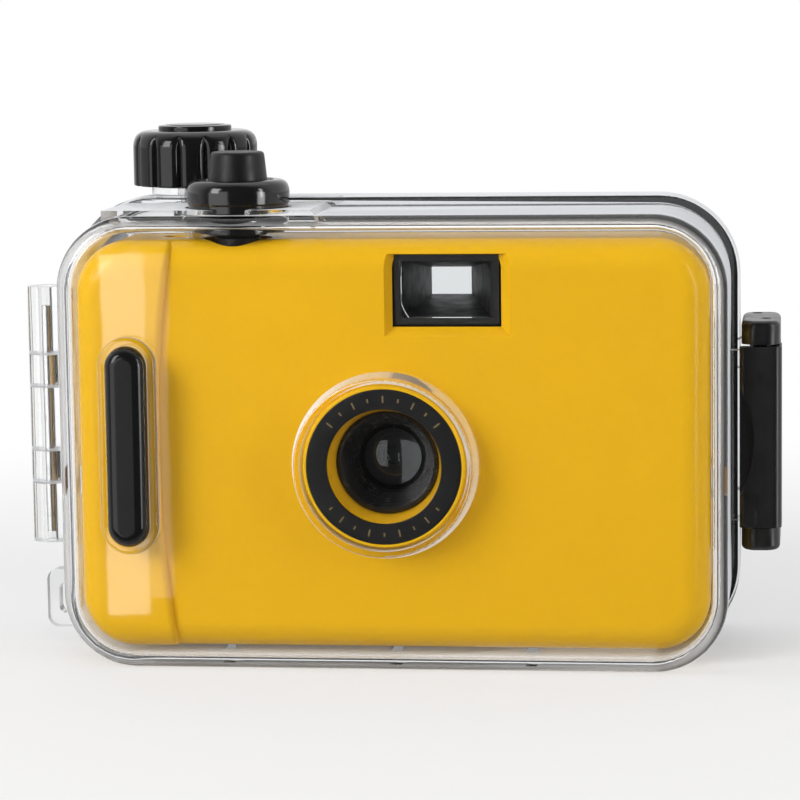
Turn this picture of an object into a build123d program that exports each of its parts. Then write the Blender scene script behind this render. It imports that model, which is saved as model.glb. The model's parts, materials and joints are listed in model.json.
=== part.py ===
from build123d import *
from math import atan, cos, degrees, radians, sin
import os

os.makedirs("parts", exist_ok=True)

# Waterproof film camera: a clear two-part case, hinged on the left and clasped on the
# right, with a small 35 mm camera seated in its front half.
# Millimetres. X is the viewer's right, -Y is the front, Z is up. The origin is under the
# middle of the case, on the seam between its halves.

# Clear case
case_width = 117.4
case_height = 80.0
case_corner = 13.0
case_wall = 2.2
front_depth = 26.0
rear_depth = 22.4
case_edge_round = 3.0
flange_side = 1.5
flange_top = 2.0
flange_bottom = -0.5
front_flange = 2.2
rear_flange = 4.6
seam_gap = 0.1
pad_left_inset = 8.2
pad_length = 37.8
pad_rise = 0.9

# Fits
running_fit = 0.05
seat_fit = 0.02
part_gap = 0.3

# Gasket in the rear half's rim
gasket_depth = 2.2
gasket_outer_lip = 0.4
gasket_inner_lip = 0.4

# Hinge
hinge_reach = 7.2
hinge_radius = 3.6
hinge_bottom = 18.8
low_knuckle = 11.1
rear_knuckle = 6.0
middle_knuckle = 11.7
high_knuckle = 12.1
hinge_web = 3.2
hinge_pin_radius = 1.1
hinge_pin_inset = 3.5

# Camera turret and the port that covers it
lens_x = -0.6
turret_radius = 14.2
turret_rise = 5.6
port_gap = 0.5
port_base_wall = 1.9
port_rim_wall = 0.9
port_rise = 4.3
port_glass = 1.6

# Grip strip and its ridge
grip_inset = 12.85
grip_z = 39.9
grip_width = 7.3
grip_length = 35.4
grip_thickness = 3.4
grip_seat = 0.9
ridge_margin = 1.5
ridge_rise = 1.3

# Strap lug
lug_reach = 7.9
lug_bottom = 3.0
lug_height = 10.7
lug_thickness = 3.0
lug_slot_width = 2.4
lug_slot_height = 5.6
lug_slot_inset = 2.2

# Shutter button of the case
button_inset = 31.05
button_y = -14.0
boss_radius = 6.4
boss_height = 2.8
collar_radius = 9.1
collar_height = 5.8
collar_lip = 1.5
cap_base_radius = 5.3
cap_top_radius = 4.7
cap_height = 5.8
button_travel = 1.8
stem_radius = 1.6
stem_grip = 2.5
stem_ring_wire = 0.35
foot_radius = 5.6
foot_thickness = 1.4
foot_ring_radius = 8.2
foot_ring_thickness = 1.2
spring_radius = 3.1
spring_wire = 0.3
spring_turns = 4
spring_pocket = 2.2

# Wind knob
knob_inset = 19.05
knob_y = 10.0
knob_radius = 11.4
knob_height = 10.0
knob_skirt = 1.9
knob_hollow = 6.8
knob_hub_radius = 4.2
knob_flutes = 18
flute_radius = 1.05
knob_top_round = 2.6
knob_disc_radius = 6.7
knob_disc_rise = 1.2
knob_boss_radius = 8.1
knob_boss_height = 3.2
shaft_radius = 2.2
shaft_grip = 5.0
shaft_end_inset = 0.8
shaft_ring_wire = 0.5
clip_radius = 3.9
clip_thickness = 0.8

# Winding gears
gear_module = 2 / 3
pinion_teeth = 12
wheel_teeth = 30
wheel_drop = 8.6
wheel_thickness = 3.4
pinion_overhang = 0.5
notch_clearance = 1.2
tooth_share = 0.42
wheel_bore = 2.4

# Clasp
clasp_reach = 9.0
lever_barrel = 2.8
clasp_gap = 0.5
rib_front = -7.1
rib_back = -4.6
rib_end_inset = 1.0
link_pin_reach = 4.5
link_pin_y = 6.5
lever_pin_y = -3.0
clasp_pin_radius = 0.9
clasp_pin_inset = 1.2
clasp_bottom = 19.0
low_cap = 4.2
clasp_span = 32.4
high_cap = 4.3
link_width = 6.8
link_cap_round = 0.9
link_front = -8.6
link_back = 9.2
link_plate = 1.6
link_plate_front = 1.4
link_corner = 2.6
lever_front = -9.8
lever_plate = 2.4
lever_hook = 1.3
lever_round = 1.5
eye_radius = 2.3
eye_height = 5.0
scoop_radius = 19.0
scoop_inset = 4.8
scoop_z = 38.6
scoop_depth = 1.3

# Camera body
camera_left_gap = 0.6
camera_right_gap = 1.0
camera_floor_gap = 0.9
camera_top_gap = 2.3
camera_front_gap = 1.8
camera_rear_gap = 2.2
camera_corner = 9.4
camera_front_round = 5.0
camera_rear_round = 4.0
cover_wall = 1.8
cover_back = -3.0
core_setback = 5.5
bulge_rise = 1.4
bulge_width = 17.9
bulge_bow = 3.0
release_pocket_depth = 2.9
release_radius = 4.0
release_length = 4.8

# Camera lens
ring_outer = 13.6
ring_inner = 10.05
ring_thickness = 0.9
barrel_radius = 9.1
barrel_setback = 5.4
barrel_length = 10.0
glass_radius = 5.9
glass_thickness = 1.8
glass_setback = 6.3
pupil_radius = 1.7
plate_thickness = 0.8
blade_thickness = 0.4
blade_pivot_x = 8.5
blade_pivot_z = 5.5
blade_radius = 3.2

# Viewfinder
finder_x = 10.2
finder_drop = 9.5
finder_width = 22.0
finder_height = 14.5
window_width = 18.4
window_height = 12.2
finder_bevel = 2.2
finder_wall = 1.1
finder_rear = 13.9
finder_glass = 1.6
finder_lens_radius = 8.4
window_shift = 0.3
window_lift = 0.75
eyepiece_shift = 3.05
eyepiece_drop = 0.65
eyepiece_width = 9.55
eyepiece_height = 6.1
eyepiece_depth = 1.5

# Film path
film_plane = 12.0
film_width = 35.0
track_rail = 1.5
gate_width = 36.0
gate_height = 24.0
gate_front_width = 12.0
gate_front_height = 9.0
shutter_wall = -6.0
shutter_room_radius = 15.0
chamber_inset = 16.9
chamber_y = 2.0
chamber_radius = 12.4
chamber_floor = 9.5
gear_floor = 6.3
spool_y = -4.0
spool_radius = 6.0
spool_flange = 9.0
spool_flange_thickness = 1.2
spool_room = 10.0
sprocket_spacing = 15.6
sprocket_radius = 4.6
sprocket_teeth = 8
sprocket_room = 5.8

# Film door, latch and rewind crank of the camera
door_inner = 14.4
door_low_margin = 3.5
door_high_margin = 0.5
door_side_inset = 4.7
door_hinge_inset = 1.8
door_end_inset = 3.6
door_barrel_radius = 1.7
door_pin_radius = 0.6
door_pin_reach = 3.0
plate_width = 42.0
plate_height = 33.0
slider_width = 6.0
slider_height = 8.0
slider_depth = 1.6
slider_travel = 3.0
crank_radius = 4.6
crank_thickness = 1.8
fork_radius = 2.2
fork_reach = 7.0
dial_radius = 7.4
dial_thickness = 1.0
dial_window = 2.2

# Cradle ribs
rib_width = 2.0
rib_places = [-30.0, 0.0, 24.0]
side_rib_level = 30.0
side_rib_height = 5.0


def at_depth(y):
    """The upright plane at this y, seen from the front."""
    return Plane.XZ.offset(-y)


def at_level(z):
    """The level plane at this height."""
    return Plane.XY.offset(z)


def case_outline(side, top=None, bottom=None):
    """The case's rounded outline, grown by these margins."""
    top = side if top is None else top
    bottom = side if bottom is None else bottom
    height = case_height + top + bottom
    with Locations((0, case_height / 2 + (top - bottom) / 2)):
        RectangleRounded(case_width + 2 * side, height, case_corner + side)


def flange_outline(inset):
    """The rim where the halves meet, drawn in by inset. It stays off the ground."""
    case_outline(flange_side - inset, flange_top - inset, flange_bottom - inset)


def camera_outline(inset):
    """The camera's rounded outline, drawn in by inset."""
    width = camera_right - camera_left - 2 * inset
    height = camera_top - camera_bottom - 2 * inset
    with Locations(((camera_right + camera_left) / 2, (camera_top + camera_bottom) / 2)):
        RectangleRounded(width, height, camera_corner - inset)


def pad_outline():
    """The low pad under the button and the knob, with a sloping right end."""
    low = case_height - case_wall
    high = case_height + pad_rise
    with BuildLine() as outline:
        Polyline((pad_left, low), (pad_left, high), (pad_right - pad_rise, high),
                 (pad_right, case_height), (pad_right, low), (pad_left, low))
    make_face(outline.edges())


def add_block(x_range, y_range, z_range, mode=Mode.ADD):
    """A plain block between these limits."""
    ranges = (x_range, y_range, z_range)
    middle = tuple((high + low) / 2 for low, high in ranges)
    size = [high - low for low, high in ranges]
    with Locations(middle):
        Box(*size, mode=mode)


def add_post(x, y, low, high, radius, mode=Mode.ADD):
    """An upright round bar from one level to another."""
    with BuildSketch(at_level(low)) as section:
        with Locations((x, y)):
            Circle(radius)
    extrude(section.sketch, amount=high - low, mode=mode)


def add_plug(x, z, front, back, radius, mode=Mode.ADD):
    """A round bar along the view direction, from its front to its back."""
    with BuildSketch(at_depth(back)) as section:
        with Locations((x, z)):
            Circle(radius)
    extrude(section.sketch, amount=back - front, mode=mode)


def add_knuckles(spans, side):
    """Hinge knuckles with webs; side is -1 on the front half and 1 on the rear one."""
    web_end = -(case_width - case_wall) / 2
    for low, high in spans:
        with BuildSketch(at_level(low)) as section:
            with Locations((hinge_x, 0)):
                Circle(hinge_radius)
            with Locations(((hinge_x + web_end) / 2, side * (seam_gap + hinge_web / 2))):
                Rectangle(web_end - hinge_x, hinge_web)
        extrude(section.sketch, amount=high - low)


def gear_outline(teeth, first_angle):
    """A gear's outline with tapered teeth, the first one centred at first_angle."""
    pitch_radius = gear_module * teeth / 2
    tip = pitch_radius + gear_module
    root = pitch_radius - 1.25 * gear_module
    step = 360 / teeth
    corners = []
    for tooth in range(teeth):
        middle = first_angle + tooth * step
        for offset, radius in ((-0.5, root), (-tooth_share * 0.72, root),
                               (-tooth_share * 0.26, tip), (tooth_share * 0.26, tip),
                               (tooth_share * 0.72, root)):
            angle = radians(middle + offset * step)
            corners.append((radius * cos(angle), radius * sin(angle)))
    with BuildLine() as outline:
        Polyline(*corners, corners[0])
    make_face(outline.edges())


# Levels and places that follow from the sizes above
half_width = case_width / 2
pad_left = -half_width + pad_left_inset
pad_right = pad_left + pad_length
pad_top = case_height + pad_rise
inner_top = case_height - case_wall
camera_left = -half_width + case_wall + camera_left_gap
camera_right = half_width - case_wall - camera_right_gap
camera_bottom = case_wall + camera_floor_gap
camera_top = inner_top - camera_top_gap
camera_front = -front_depth + case_wall + camera_front_gap
camera_rear = rear_depth - case_wall - camera_rear_gap
core_front = camera_front + core_setback
wheel_level = camera_top - wheel_drop
chamber_x = camera_right - chamber_inset
chamber_low = camera_bottom + chamber_floor
chamber_high = wheel_level - gear_floor
door_low = chamber_low - door_low_margin
door_high = chamber_high + door_high_margin
door_hinge_x = camera_left + door_side_inset
lens_z = (chamber_low + chamber_high) / 2
finder_z = camera_top - finder_drop
window_x = finder_x - window_shift
window_z = finder_z + window_lift
eyepiece_x = finder_x - eyepiece_shift
eyepiece_z = finder_z - eyepiece_drop
bulge_x = camera_left + bulge_width
turret_front = -camera_front + turret_rise
grip_x = -half_width + grip_inset
lug_x = -half_width - lug_reach
button_x = -half_width + button_inset
knob_x = -half_width + knob_inset
spool_x = knob_x
sprocket_x = spool_x + sprocket_spacing
hinge_x = -half_width - hinge_reach
hinge_levels = [hinge_bottom]
for knuckle in (low_knuckle, rear_knuckle, middle_knuckle, rear_knuckle, high_knuckle):
    hinge_levels.append(hinge_levels[-1] + knuckle)
clasp_levels = [clasp_bottom]
for part_height in (low_cap, clasp_span, high_cap):
    clasp_levels.append(clasp_levels[-1] + part_height)
clasp_outer = half_width + clasp_reach
lever_pin_x = clasp_outer - lever_barrel
rib_x = lever_pin_x - lever_barrel - clasp_gap
lever_hook_x = rib_x - lever_hook
link_outer = clasp_outer - part_gap
link_inner = link_outer - link_width
link_pin_x = half_width + link_pin_reach
scoop_x = clasp_outer - scoop_inset
port_bore = turret_radius + port_gap
port_front = front_depth + port_rise
boss_top = case_height + boss_height
cap_bottom = boss_top + button_travel + part_gap
foot_top = inner_top - part_gap
foot_bottom = foot_top - foot_thickness
release_top = foot_bottom - part_gap
pocket_radius = foot_radius + 0.5
pocket_floor = camera_top - release_pocket_depth
knob_bottom = case_height + knob_boss_height + part_gap
knob_top = knob_bottom + knob_height
knob_ceiling = knob_bottom + knob_hollow
pinion_low = wheel_level - pinion_overhang
pinion_high = wheel_level + wheel_thickness + pinion_overhang
clip_top = inner_top - part_gap
front_knuckles = [(hinge_levels[0], hinge_levels[1] - part_gap),
                  (hinge_levels[2], hinge_levels[3] - part_gap),
                  (hinge_levels[4], hinge_levels[5])]
rear_knuckles = [(hinge_levels[1], hinge_levels[2] - part_gap),
                 (hinge_levels[3], hinge_levels[4] - part_gap)]
lever_low = clasp_levels[1] + part_gap / 2
lever_high = clasp_levels[2] - part_gap / 2
eye_spans = [(lever_low, lever_low + eye_height), (lever_high - eye_height, lever_high)]
door_hinge_y = camera_rear - door_hinge_inset
door_end = camera_right - door_end_inset
barrel_front = -turret_front + barrel_setback
barrel_back = barrel_front + barrel_length
plate_back = barrel_back + plate_thickness
blade_front = plate_back + part_gap
blade_back = blade_front + blade_thickness
film_middle = lens_z
sprocket_y = film_plane - sprocket_radius
wheel_high = wheel_level + wheel_thickness
dial_low = wheel_high + 1.6
finder_front = camera_front + finder_bevel

# The hollow of the case's front half
with BuildPart() as front_hollow:
    with BuildSketch(at_depth(0)):
        case_outline(-case_wall)
    extrude(amount=front_depth - case_wall)
    fillet(front_hollow.faces().sort_by(Axis.Y)[0].edges(), case_edge_round - case_wall)

with BuildPart() as front_shell:
    with BuildSketch(at_depth(0)):
        case_outline(0)
    extrude(amount=front_depth)
    fillet(front_shell.faces().sort_by(Axis.Y)[0].edges(), case_edge_round)
    with BuildSketch(at_depth(0)):
        pad_outline()
    extrude(amount=front_depth - case_edge_round)
    with BuildSketch(at_depth(0)):
        flange_outline(0)
    extrude(amount=front_flange)
    add_knuckles(front_knuckles, -1)
    # Strap lug at the lower left
    lug_width = -half_width + case_corner / 2 - lug_x
    with BuildSketch(at_depth(0)):
        with Locations((lug_x + lug_width / 2, lug_bottom + lug_height / 2)):
            RectangleRounded(lug_width, lug_height, 2)
        with Locations((lug_x + lug_slot_inset + lug_slot_width / 2, lug_bottom + lug_height / 2)):
            SlotOverall(lug_slot_height, lug_slot_width, rotation=90, mode=Mode.SUBTRACT)
    extrude(amount=lug_thickness)
    # Rib that the clasp's hook holds
    add_block((half_width - case_wall / 2, rib_x), (rib_front, rib_back),
              (clasp_levels[1] + rib_end_inset, clasp_levels[2] - rib_end_inset))
    # Port over the lens turret, wider at its foot
    with BuildSketch(at_depth(-front_depth + case_wall / 2)):
        with Locations((lens_x, lens_z)):
            Circle(port_bore + port_base_wall)
    port_length = port_rise + case_wall / 2
    port_taper = degrees(atan((port_base_wall - port_rim_wall) / port_length))
    extrude(amount=port_length, taper=port_taper)
    fillet(front_shell.faces().sort_by(Axis.Y)[0].edges(), port_rim_wall / 2)
    # Ridge round the grip strip
    with BuildSketch(at_depth(-front_depth + case_wall / 2)):
        with Locations((grip_x, grip_z)):
            SlotOverall(grip_length + 2 * ridge_margin, grip_width + 2 * ridge_margin, rotation=90)
    extrude(amount=case_wall / 2 + ridge_rise)
    ridge_face = front_shell.faces().filter_by(Axis.Y).group_by(Axis.Y)[1][0]
    fillet(ridge_face.edges(), ridge_rise / 2)
    with BuildSketch(at_depth(-front_depth - ridge_rise)):
        with Locations((grip_x, grip_z)):
            SlotOverall(grip_length + 2 * seat_fit, grip_width + 2 * seat_fit, rotation=90)
    extrude(amount=-grip_seat, mode=Mode.SUBTRACT)
    # Boss for the button, in a round seat for its collar
    add_post(button_x, button_y, case_height, pad_top, collar_radius + part_gap, Mode.SUBTRACT)
    add_post(button_x, button_y, inner_top, boss_top, boss_radius)
    add(front_hollow.part, mode=Mode.SUBTRACT)
    add_plug(lens_x, lens_z, -port_front + port_glass, -front_depth + case_wall, port_bore,
             Mode.SUBTRACT)
    # Cradle ribs that hold the camera
    rib_span = (camera_front + camera_front_round, cover_back)
    for x in rib_places:
        add_block((x - rib_width / 2, x + rib_width / 2), rib_span,
                  (case_wall / 2, camera_bottom))
    wall_middle = half_width - case_wall / 2
    for ends in ((-wall_middle, camera_left), (camera_right, wall_middle)):
        add_block(ends, rib_span, (side_rib_level, side_rib_level + side_rib_height))
    # Bores for the stem, its spring and seal, and the hinge pin
    add_post(button_x, button_y, inner_top, boss_top, stem_radius + running_fit, Mode.SUBTRACT)
    add_post(button_x, button_y, boss_top - spring_pocket, boss_top,
             spring_radius + 2 * spring_wire, Mode.SUBTRACT)
    stem_ring_level = inner_top + 1.2
    add_post(button_x, button_y, stem_ring_level - stem_ring_wire, stem_ring_level + stem_ring_wire,
             stem_radius + running_fit + 2 * stem_ring_wire, Mode.SUBTRACT)
    add_post(hinge_x, 0, hinge_levels[0], hinge_levels[5], hinge_pin_radius + seat_fit,
             Mode.SUBTRACT)
front_shell.part.label = "front_shell"
export_step(front_shell.part, "parts/front_shell.step")

# The hollow of the case's rear half
with BuildPart() as rear_hollow:
    with BuildSketch(at_depth(seam_gap)):
        case_outline(-case_wall)
    extrude(amount=-(rear_depth - seam_gap - case_wall))
    fillet(rear_hollow.faces().sort_by(Axis.Y)[-1].edges(), case_edge_round - case_wall)

with BuildPart() as rear_shell:
    with BuildSketch(at_depth(seam_gap)):
        case_outline(0)
    extrude(amount=-(rear_depth - seam_gap))
    fillet(rear_shell.faces().sort_by(Axis.Y)[-1].edges(), case_edge_round)
    with BuildSketch(at_depth(seam_gap)):
        pad_outline()
    extrude(amount=-(rear_depth - seam_gap - case_edge_round))
    with BuildSketch(at_depth(seam_gap)):
        flange_outline(0)
    extrude(amount=-(rear_flange - seam_gap))
    add_knuckles(rear_knuckles, 1)
    add_post(knob_x, knob_y, inner_top, case_height + knob_boss_height, knob_boss_radius)
    # Eyes that carry the clasp's link
    for low, high in eye_spans:
        with BuildSketch(at_level(low)):
            with Locations((link_pin_x, link_pin_y)):
                Circle(eye_radius)
            eye_root = half_width - case_wall / 2
            with Locations(((link_pin_x + eye_root) / 2, link_pin_y)):
                Rectangle(link_pin_x - eye_root, 2 * eye_radius)
        extrude(amount=high - low)
    add(rear_hollow.part, mode=Mode.SUBTRACT)
    # Groove for the gasket
    with BuildSketch(at_depth(seam_gap)):
        flange_outline(gasket_outer_lip)
        with BuildSketch(mode=Mode.SUBTRACT):
            case_outline(gasket_inner_lip - case_wall)
    extrude(amount=-gasket_depth, mode=Mode.SUBTRACT)
    # Bores for the knob's shaft and seal, the hinge pin and the link pin
    add_post(knob_x, knob_y, inner_top, knob_bottom, shaft_radius + running_fit, Mode.SUBTRACT)
    shaft_ring_level = case_height
    add_post(knob_x, knob_y, shaft_ring_level - shaft_ring_wire,
             shaft_ring_level + shaft_ring_wire,
             shaft_radius + running_fit + 2 * shaft_ring_wire, Mode.SUBTRACT)
    add_post(hinge_x, 0, hinge_levels[0], hinge_levels[5], hinge_pin_radius + running_fit,
             Mode.SUBTRACT)
    add_post(link_pin_x, link_pin_y, clasp_levels[0], clasp_levels[3],
             clasp_pin_radius + seat_fit, Mode.SUBTRACT)
rear_shell.part.label = "rear_shell"
export_step(rear_shell.part, "parts/rear_shell.step")

with BuildPart() as gasket:
    with BuildSketch(at_depth(seam_gap / 2)):
        flange_outline(gasket_outer_lip + seat_fit)
        with BuildSketch(mode=Mode.SUBTRACT):
            case_outline(gasket_inner_lip - case_wall + seat_fit)
    extrude(amount=-(gasket_depth + seam_gap / 2))
gasket.part.label = "gasket"
export_step(gasket.part, "parts/gasket.step")

with BuildPart() as hinge_pin:
    add_post(hinge_x, 0, hinge_levels[0] + hinge_pin_inset / 2, hinge_levels[5] - hinge_pin_inset,
             hinge_pin_radius)
hinge_pin.part.label = "hinge_pin"
export_step(hinge_pin.part, "parts/hinge_pin.step")

with BuildPart() as grip_strip:
    with BuildSketch(at_depth(-front_depth - ridge_rise + grip_seat)):
        with Locations((grip_x, grip_z)):
            SlotOverall(grip_length, grip_width, rotation=90)
    extrude(amount=grip_thickness)
    fillet(grip_strip.faces().sort_by(Axis.Y)[0].edges(), 0.3 * grip_width)
grip_strip.part.label = "grip_strip"
export_step(grip_strip.part, "parts/grip_strip.step")

with BuildPart() as button_collar:
    add_post(button_x, button_y, case_height, case_height + collar_height, collar_radius)
    fillet(button_collar.faces().sort_by(Axis.Z)[-1].edges(), collar_lip * 1.4)
    lip_level = case_height + collar_height - collar_lip
    add_post(button_x, button_y, case_height, lip_level, boss_radius + seat_fit, Mode.SUBTRACT)
    add_post(button_x, button_y, lip_level, case_height + collar_height,
             cap_base_radius + part_gap, Mode.SUBTRACT)
button_collar.part.label = "button_collar"
export_step(button_collar.part, "parts/button_collar.step")

with BuildPart() as button_cap:
    with BuildSketch(at_level(cap_bottom)):
        with Locations((button_x, button_y)):
            Circle(cap_base_radius)
    extrude(amount=cap_height, taper=degrees(atan((cap_base_radius - cap_top_radius) / cap_height)))
    fillet(button_cap.faces().sort_by(Axis.Z)[-1].edges(), 0.7)
    add_post(button_x, button_y, cap_bottom, cap_bottom + stem_grip, stem_radius + seat_fit,
             Mode.SUBTRACT)
button_cap.part.label = "button_cap"
export_step(button_cap.part, "parts/button_cap.step")

with BuildPart() as button_stem:
    add_post(button_x, button_y, foot_top, cap_bottom + stem_grip, stem_radius)
button_stem.part.label = "button_stem"
export_step(button_stem.part, "parts/button_stem.step")

with BuildPart() as button_foot:
    add_post(button_x, button_y, foot_bottom, foot_top, foot_radius)
    fillet(button_foot.faces().sort_by(Axis.Z)[0].edges(), foot_thickness / 3)
button_foot.part.label = "button_foot"
export_step(button_foot.part, "parts/button_foot.step")

# Ring under the case's top wall, which the foot moves in
with BuildPart() as button_ring:
    add_post(button_x, button_y, inner_top - foot_ring_thickness, inner_top, foot_ring_radius)
    add_post(button_x, button_y, inner_top - foot_ring_thickness, inner_top,
             foot_radius + part_gap, Mode.SUBTRACT)
button_ring.part.label = "button_ring"
export_step(button_ring.part, "parts/button_ring.step")

with BuildPart() as button_o_ring:
    with Locations((button_x, button_y, stem_ring_level)):
        Torus(stem_radius + running_fit + stem_ring_wire, stem_ring_wire)
button_o_ring.part.label = "button_o_ring"
export_step(button_o_ring.part, "parts/button_o_ring.step")

# Spring between the floor of the boss's pocket and the underside of the cap
spring_low = boss_top - spring_pocket + spring_wire + running_fit
spring_high = cap_bottom - spring_wire - running_fit
with BuildPart() as button_spring:
    with BuildLine() as coil:
        spring_length = spring_high - spring_low
        Helix(spring_length / spring_turns, spring_length, spring_radius,
              center=(button_x, button_y, spring_low))
    with BuildSketch(Plane(coil.line @ 0, z_dir=coil.line % 0)):
        Circle(spring_wire)
    sweep(is_frenet=True)
button_spring.part.label = "button_spring"
export_step(button_spring.part, "parts/button_spring.step")

with BuildPart() as wind_knob:
    add_post(knob_x, knob_y, knob_bottom, knob_top, knob_radius)
    fillet(wind_knob.faces().sort_by(Axis.Z)[-1].edges(), knob_top_round)
    # Flutes round the skirt
    with BuildSketch(at_level(knob_bottom)):
        with Locations((knob_x, knob_y)):
            with PolarLocations(knob_radius + flute_radius / 3, knob_flutes):
                Circle(flute_radius)
    extrude(amount=knob_height - knob_top_round / 2, mode=Mode.SUBTRACT)
    # Hollow between the skirt and the hub
    with BuildSketch(at_level(knob_bottom)):
        with Locations((knob_x, knob_y)):
            Circle(knob_radius - knob_skirt)
            Circle(knob_hub_radius, mode=Mode.SUBTRACT)
    extrude(amount=knob_hollow, mode=Mode.SUBTRACT)
    add_post(knob_x, knob_y, knob_bottom, knob_bottom + shaft_grip, shaft_radius + seat_fit,
             Mode.SUBTRACT)
wind_knob.part.label = "wind_knob"
export_step(wind_knob.part, "parts/wind_knob.step")

with BuildPart() as knob_disc:
    add_post(knob_x, knob_y, knob_top, knob_top + knob_disc_rise, knob_disc_radius)
    fillet(knob_disc.faces().sort_by(Axis.Z)[-1].edges(), knob_disc_rise * 0.6)
knob_disc.part.label = "knob_disc"
export_step(knob_disc.part, "parts/knob_disc.step")

with BuildPart() as knob_shaft:
    add_post(knob_x, knob_y, pinion_low + shaft_end_inset, knob_bottom + shaft_grip,
             shaft_radius)
knob_shaft.part.label = "knob_shaft"
export_step(knob_shaft.part, "parts/knob_shaft.step")

with BuildPart() as knob_o_ring:
    with Locations((knob_x, knob_y, shaft_ring_level)):
        Torus(shaft_radius + running_fit + shaft_ring_wire, shaft_ring_wire)
knob_o_ring.part.label = "knob_o_ring"
export_step(knob_o_ring.part, "parts/knob_o_ring.step")

with BuildPart() as knob_clip:
    with BuildSketch(at_level(clip_top - clip_thickness)):
        with Locations((knob_x, knob_y)):
            Circle(clip_radius)
            Circle(shaft_radius + seat_fit, mode=Mode.SUBTRACT)
            with Locations((0, clip_radius)):
                Rectangle(shaft_radius, 2 * (clip_radius - shaft_radius) + 0.6,
                          mode=Mode.SUBTRACT)
    extrude(amount=clip_thickness)
knob_clip.part.label = "knob_clip"
export_step(knob_clip.part, "parts/knob_clip.step")

# A tooth of the pinion points at the wheel, and a gap of the wheel faces it
with BuildPart() as knob_pinion:
    with BuildSketch(Plane((knob_x, knob_y, pinion_low))):
        gear_outline(pinion_teeth, -90)
        Circle(shaft_radius + seat_fit, mode=Mode.SUBTRACT)
    extrude(amount=pinion_high - pinion_low)
knob_pinion.part.label = "knob_pinion"
export_step(knob_pinion.part, "parts/knob_pinion.step")

with BuildPart() as wind_wheel:
    with BuildSketch(Plane((spool_x, spool_y, wheel_level))):
        gear_outline(wheel_teeth, 90 + 180 / wheel_teeth)
        Circle(wheel_bore + seat_fit, mode=Mode.SUBTRACT)
    extrude(amount=wheel_thickness)
wind_wheel.part.label = "wind_wheel"
export_step(wind_wheel.part, "parts/wind_wheel.step")

link_cap_spans = [(clasp_levels[0], clasp_levels[1] - part_gap / 2),
                  (clasp_levels[2] + part_gap / 2, clasp_levels[3])]
with BuildPart() as latch_link:
    link_middle = ((link_inner + link_outer) / 2, (link_front + link_back) / 2)
    for low, high in link_cap_spans:
        with BuildSketch(at_level(low)):
            with Locations(link_middle):
                RectangleRounded(link_outer - link_inner, link_back - link_front, link_corner)
        extrude(amount=high - low)
    for face in (latch_link.faces().sort_by(Axis.Z)[0], latch_link.faces().sort_by(Axis.Z)[-1]):
        fillet(face.edges(), link_cap_round)
    add_block((link_outer - link_plate, link_outer), (link_plate_front, link_back - link_corner),
              (link_cap_spans[0][1] - 1, link_cap_spans[1][0] + 1))
    add_post(link_pin_x, link_pin_y, clasp_levels[0], clasp_levels[3],
             clasp_pin_radius + running_fit, Mode.SUBTRACT)
    add_post(lever_pin_x, lever_pin_y, clasp_levels[0], clasp_levels[3],
             clasp_pin_radius + seat_fit, Mode.SUBTRACT)
latch_link.part.label = "latch_link"
export_step(latch_link.part, "parts/latch_link.step")

with BuildPart() as latch_lever:
    with BuildSketch(at_level(lever_low)) as lever_section:
        with BuildLine():
            hook_back = lever_front + lever_plate
            Polyline((lever_pin_x - lever_barrel, lever_pin_y), (lever_pin_x - lever_barrel, hook_back),
                     (lever_hook_x, hook_back), (lever_hook_x, lever_front),
                     (clasp_outer, lever_front), (clasp_outer, lever_pin_y),
                     (lever_pin_x - lever_barrel, lever_pin_y))
        make_face()
        outer_front = lever_section.vertices().group_by(Axis.Y)[0].sort_by(Axis.X)
        fillet(outer_front[-1], lever_round)
        fillet(lever_section.vertices().group_by(Axis.Y)[0].sort_by(Axis.X)[0], lever_plate / 3)
        with Locations((lever_pin_x, lever_pin_y)):
            Circle(lever_barrel)
    extrude(amount=lever_high - lever_low)
    # Finger scoop in the edge nearest the case
    with BuildSketch(at_depth(lever_front + scoop_depth)):
        with Locations((scoop_x - scoop_radius, scoop_z)):
            Circle(scoop_radius)
    extrude(amount=scoop_depth, mode=Mode.SUBTRACT)
    add_post(lever_pin_x, lever_pin_y, lever_low, lever_high, clasp_pin_radius + running_fit,
             Mode.SUBTRACT)
latch_lever.part.label = "latch_lever"
export_step(latch_lever.part, "parts/latch_lever.step")

with BuildPart() as link_pin:
    add_post(link_pin_x, link_pin_y, clasp_levels[0] + clasp_pin_inset,
             clasp_levels[3] - clasp_pin_inset, clasp_pin_radius)
link_pin.part.label = "link_pin"
export_step(link_pin.part, "parts/link_pin.step")

with BuildPart() as lever_pin:
    add_post(lever_pin_x, lever_pin_y, clasp_levels[0] + clasp_pin_inset,
             clasp_levels[3] - clasp_pin_inset, clasp_pin_radius)
lever_pin.part.label = "lever_pin"
export_step(lever_pin.part, "parts/lever_pin.step")

# The camera's outer form in two halves: its front, and the raised grip on the left
with BuildPart() as front_form:
    with BuildSketch(at_depth(cover_back)):
        camera_outline(0)
    extrude(amount=cover_back - camera_front)
    fillet(front_form.faces().sort_by(Axis.Y)[0].edges(), camera_front_round)

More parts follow.
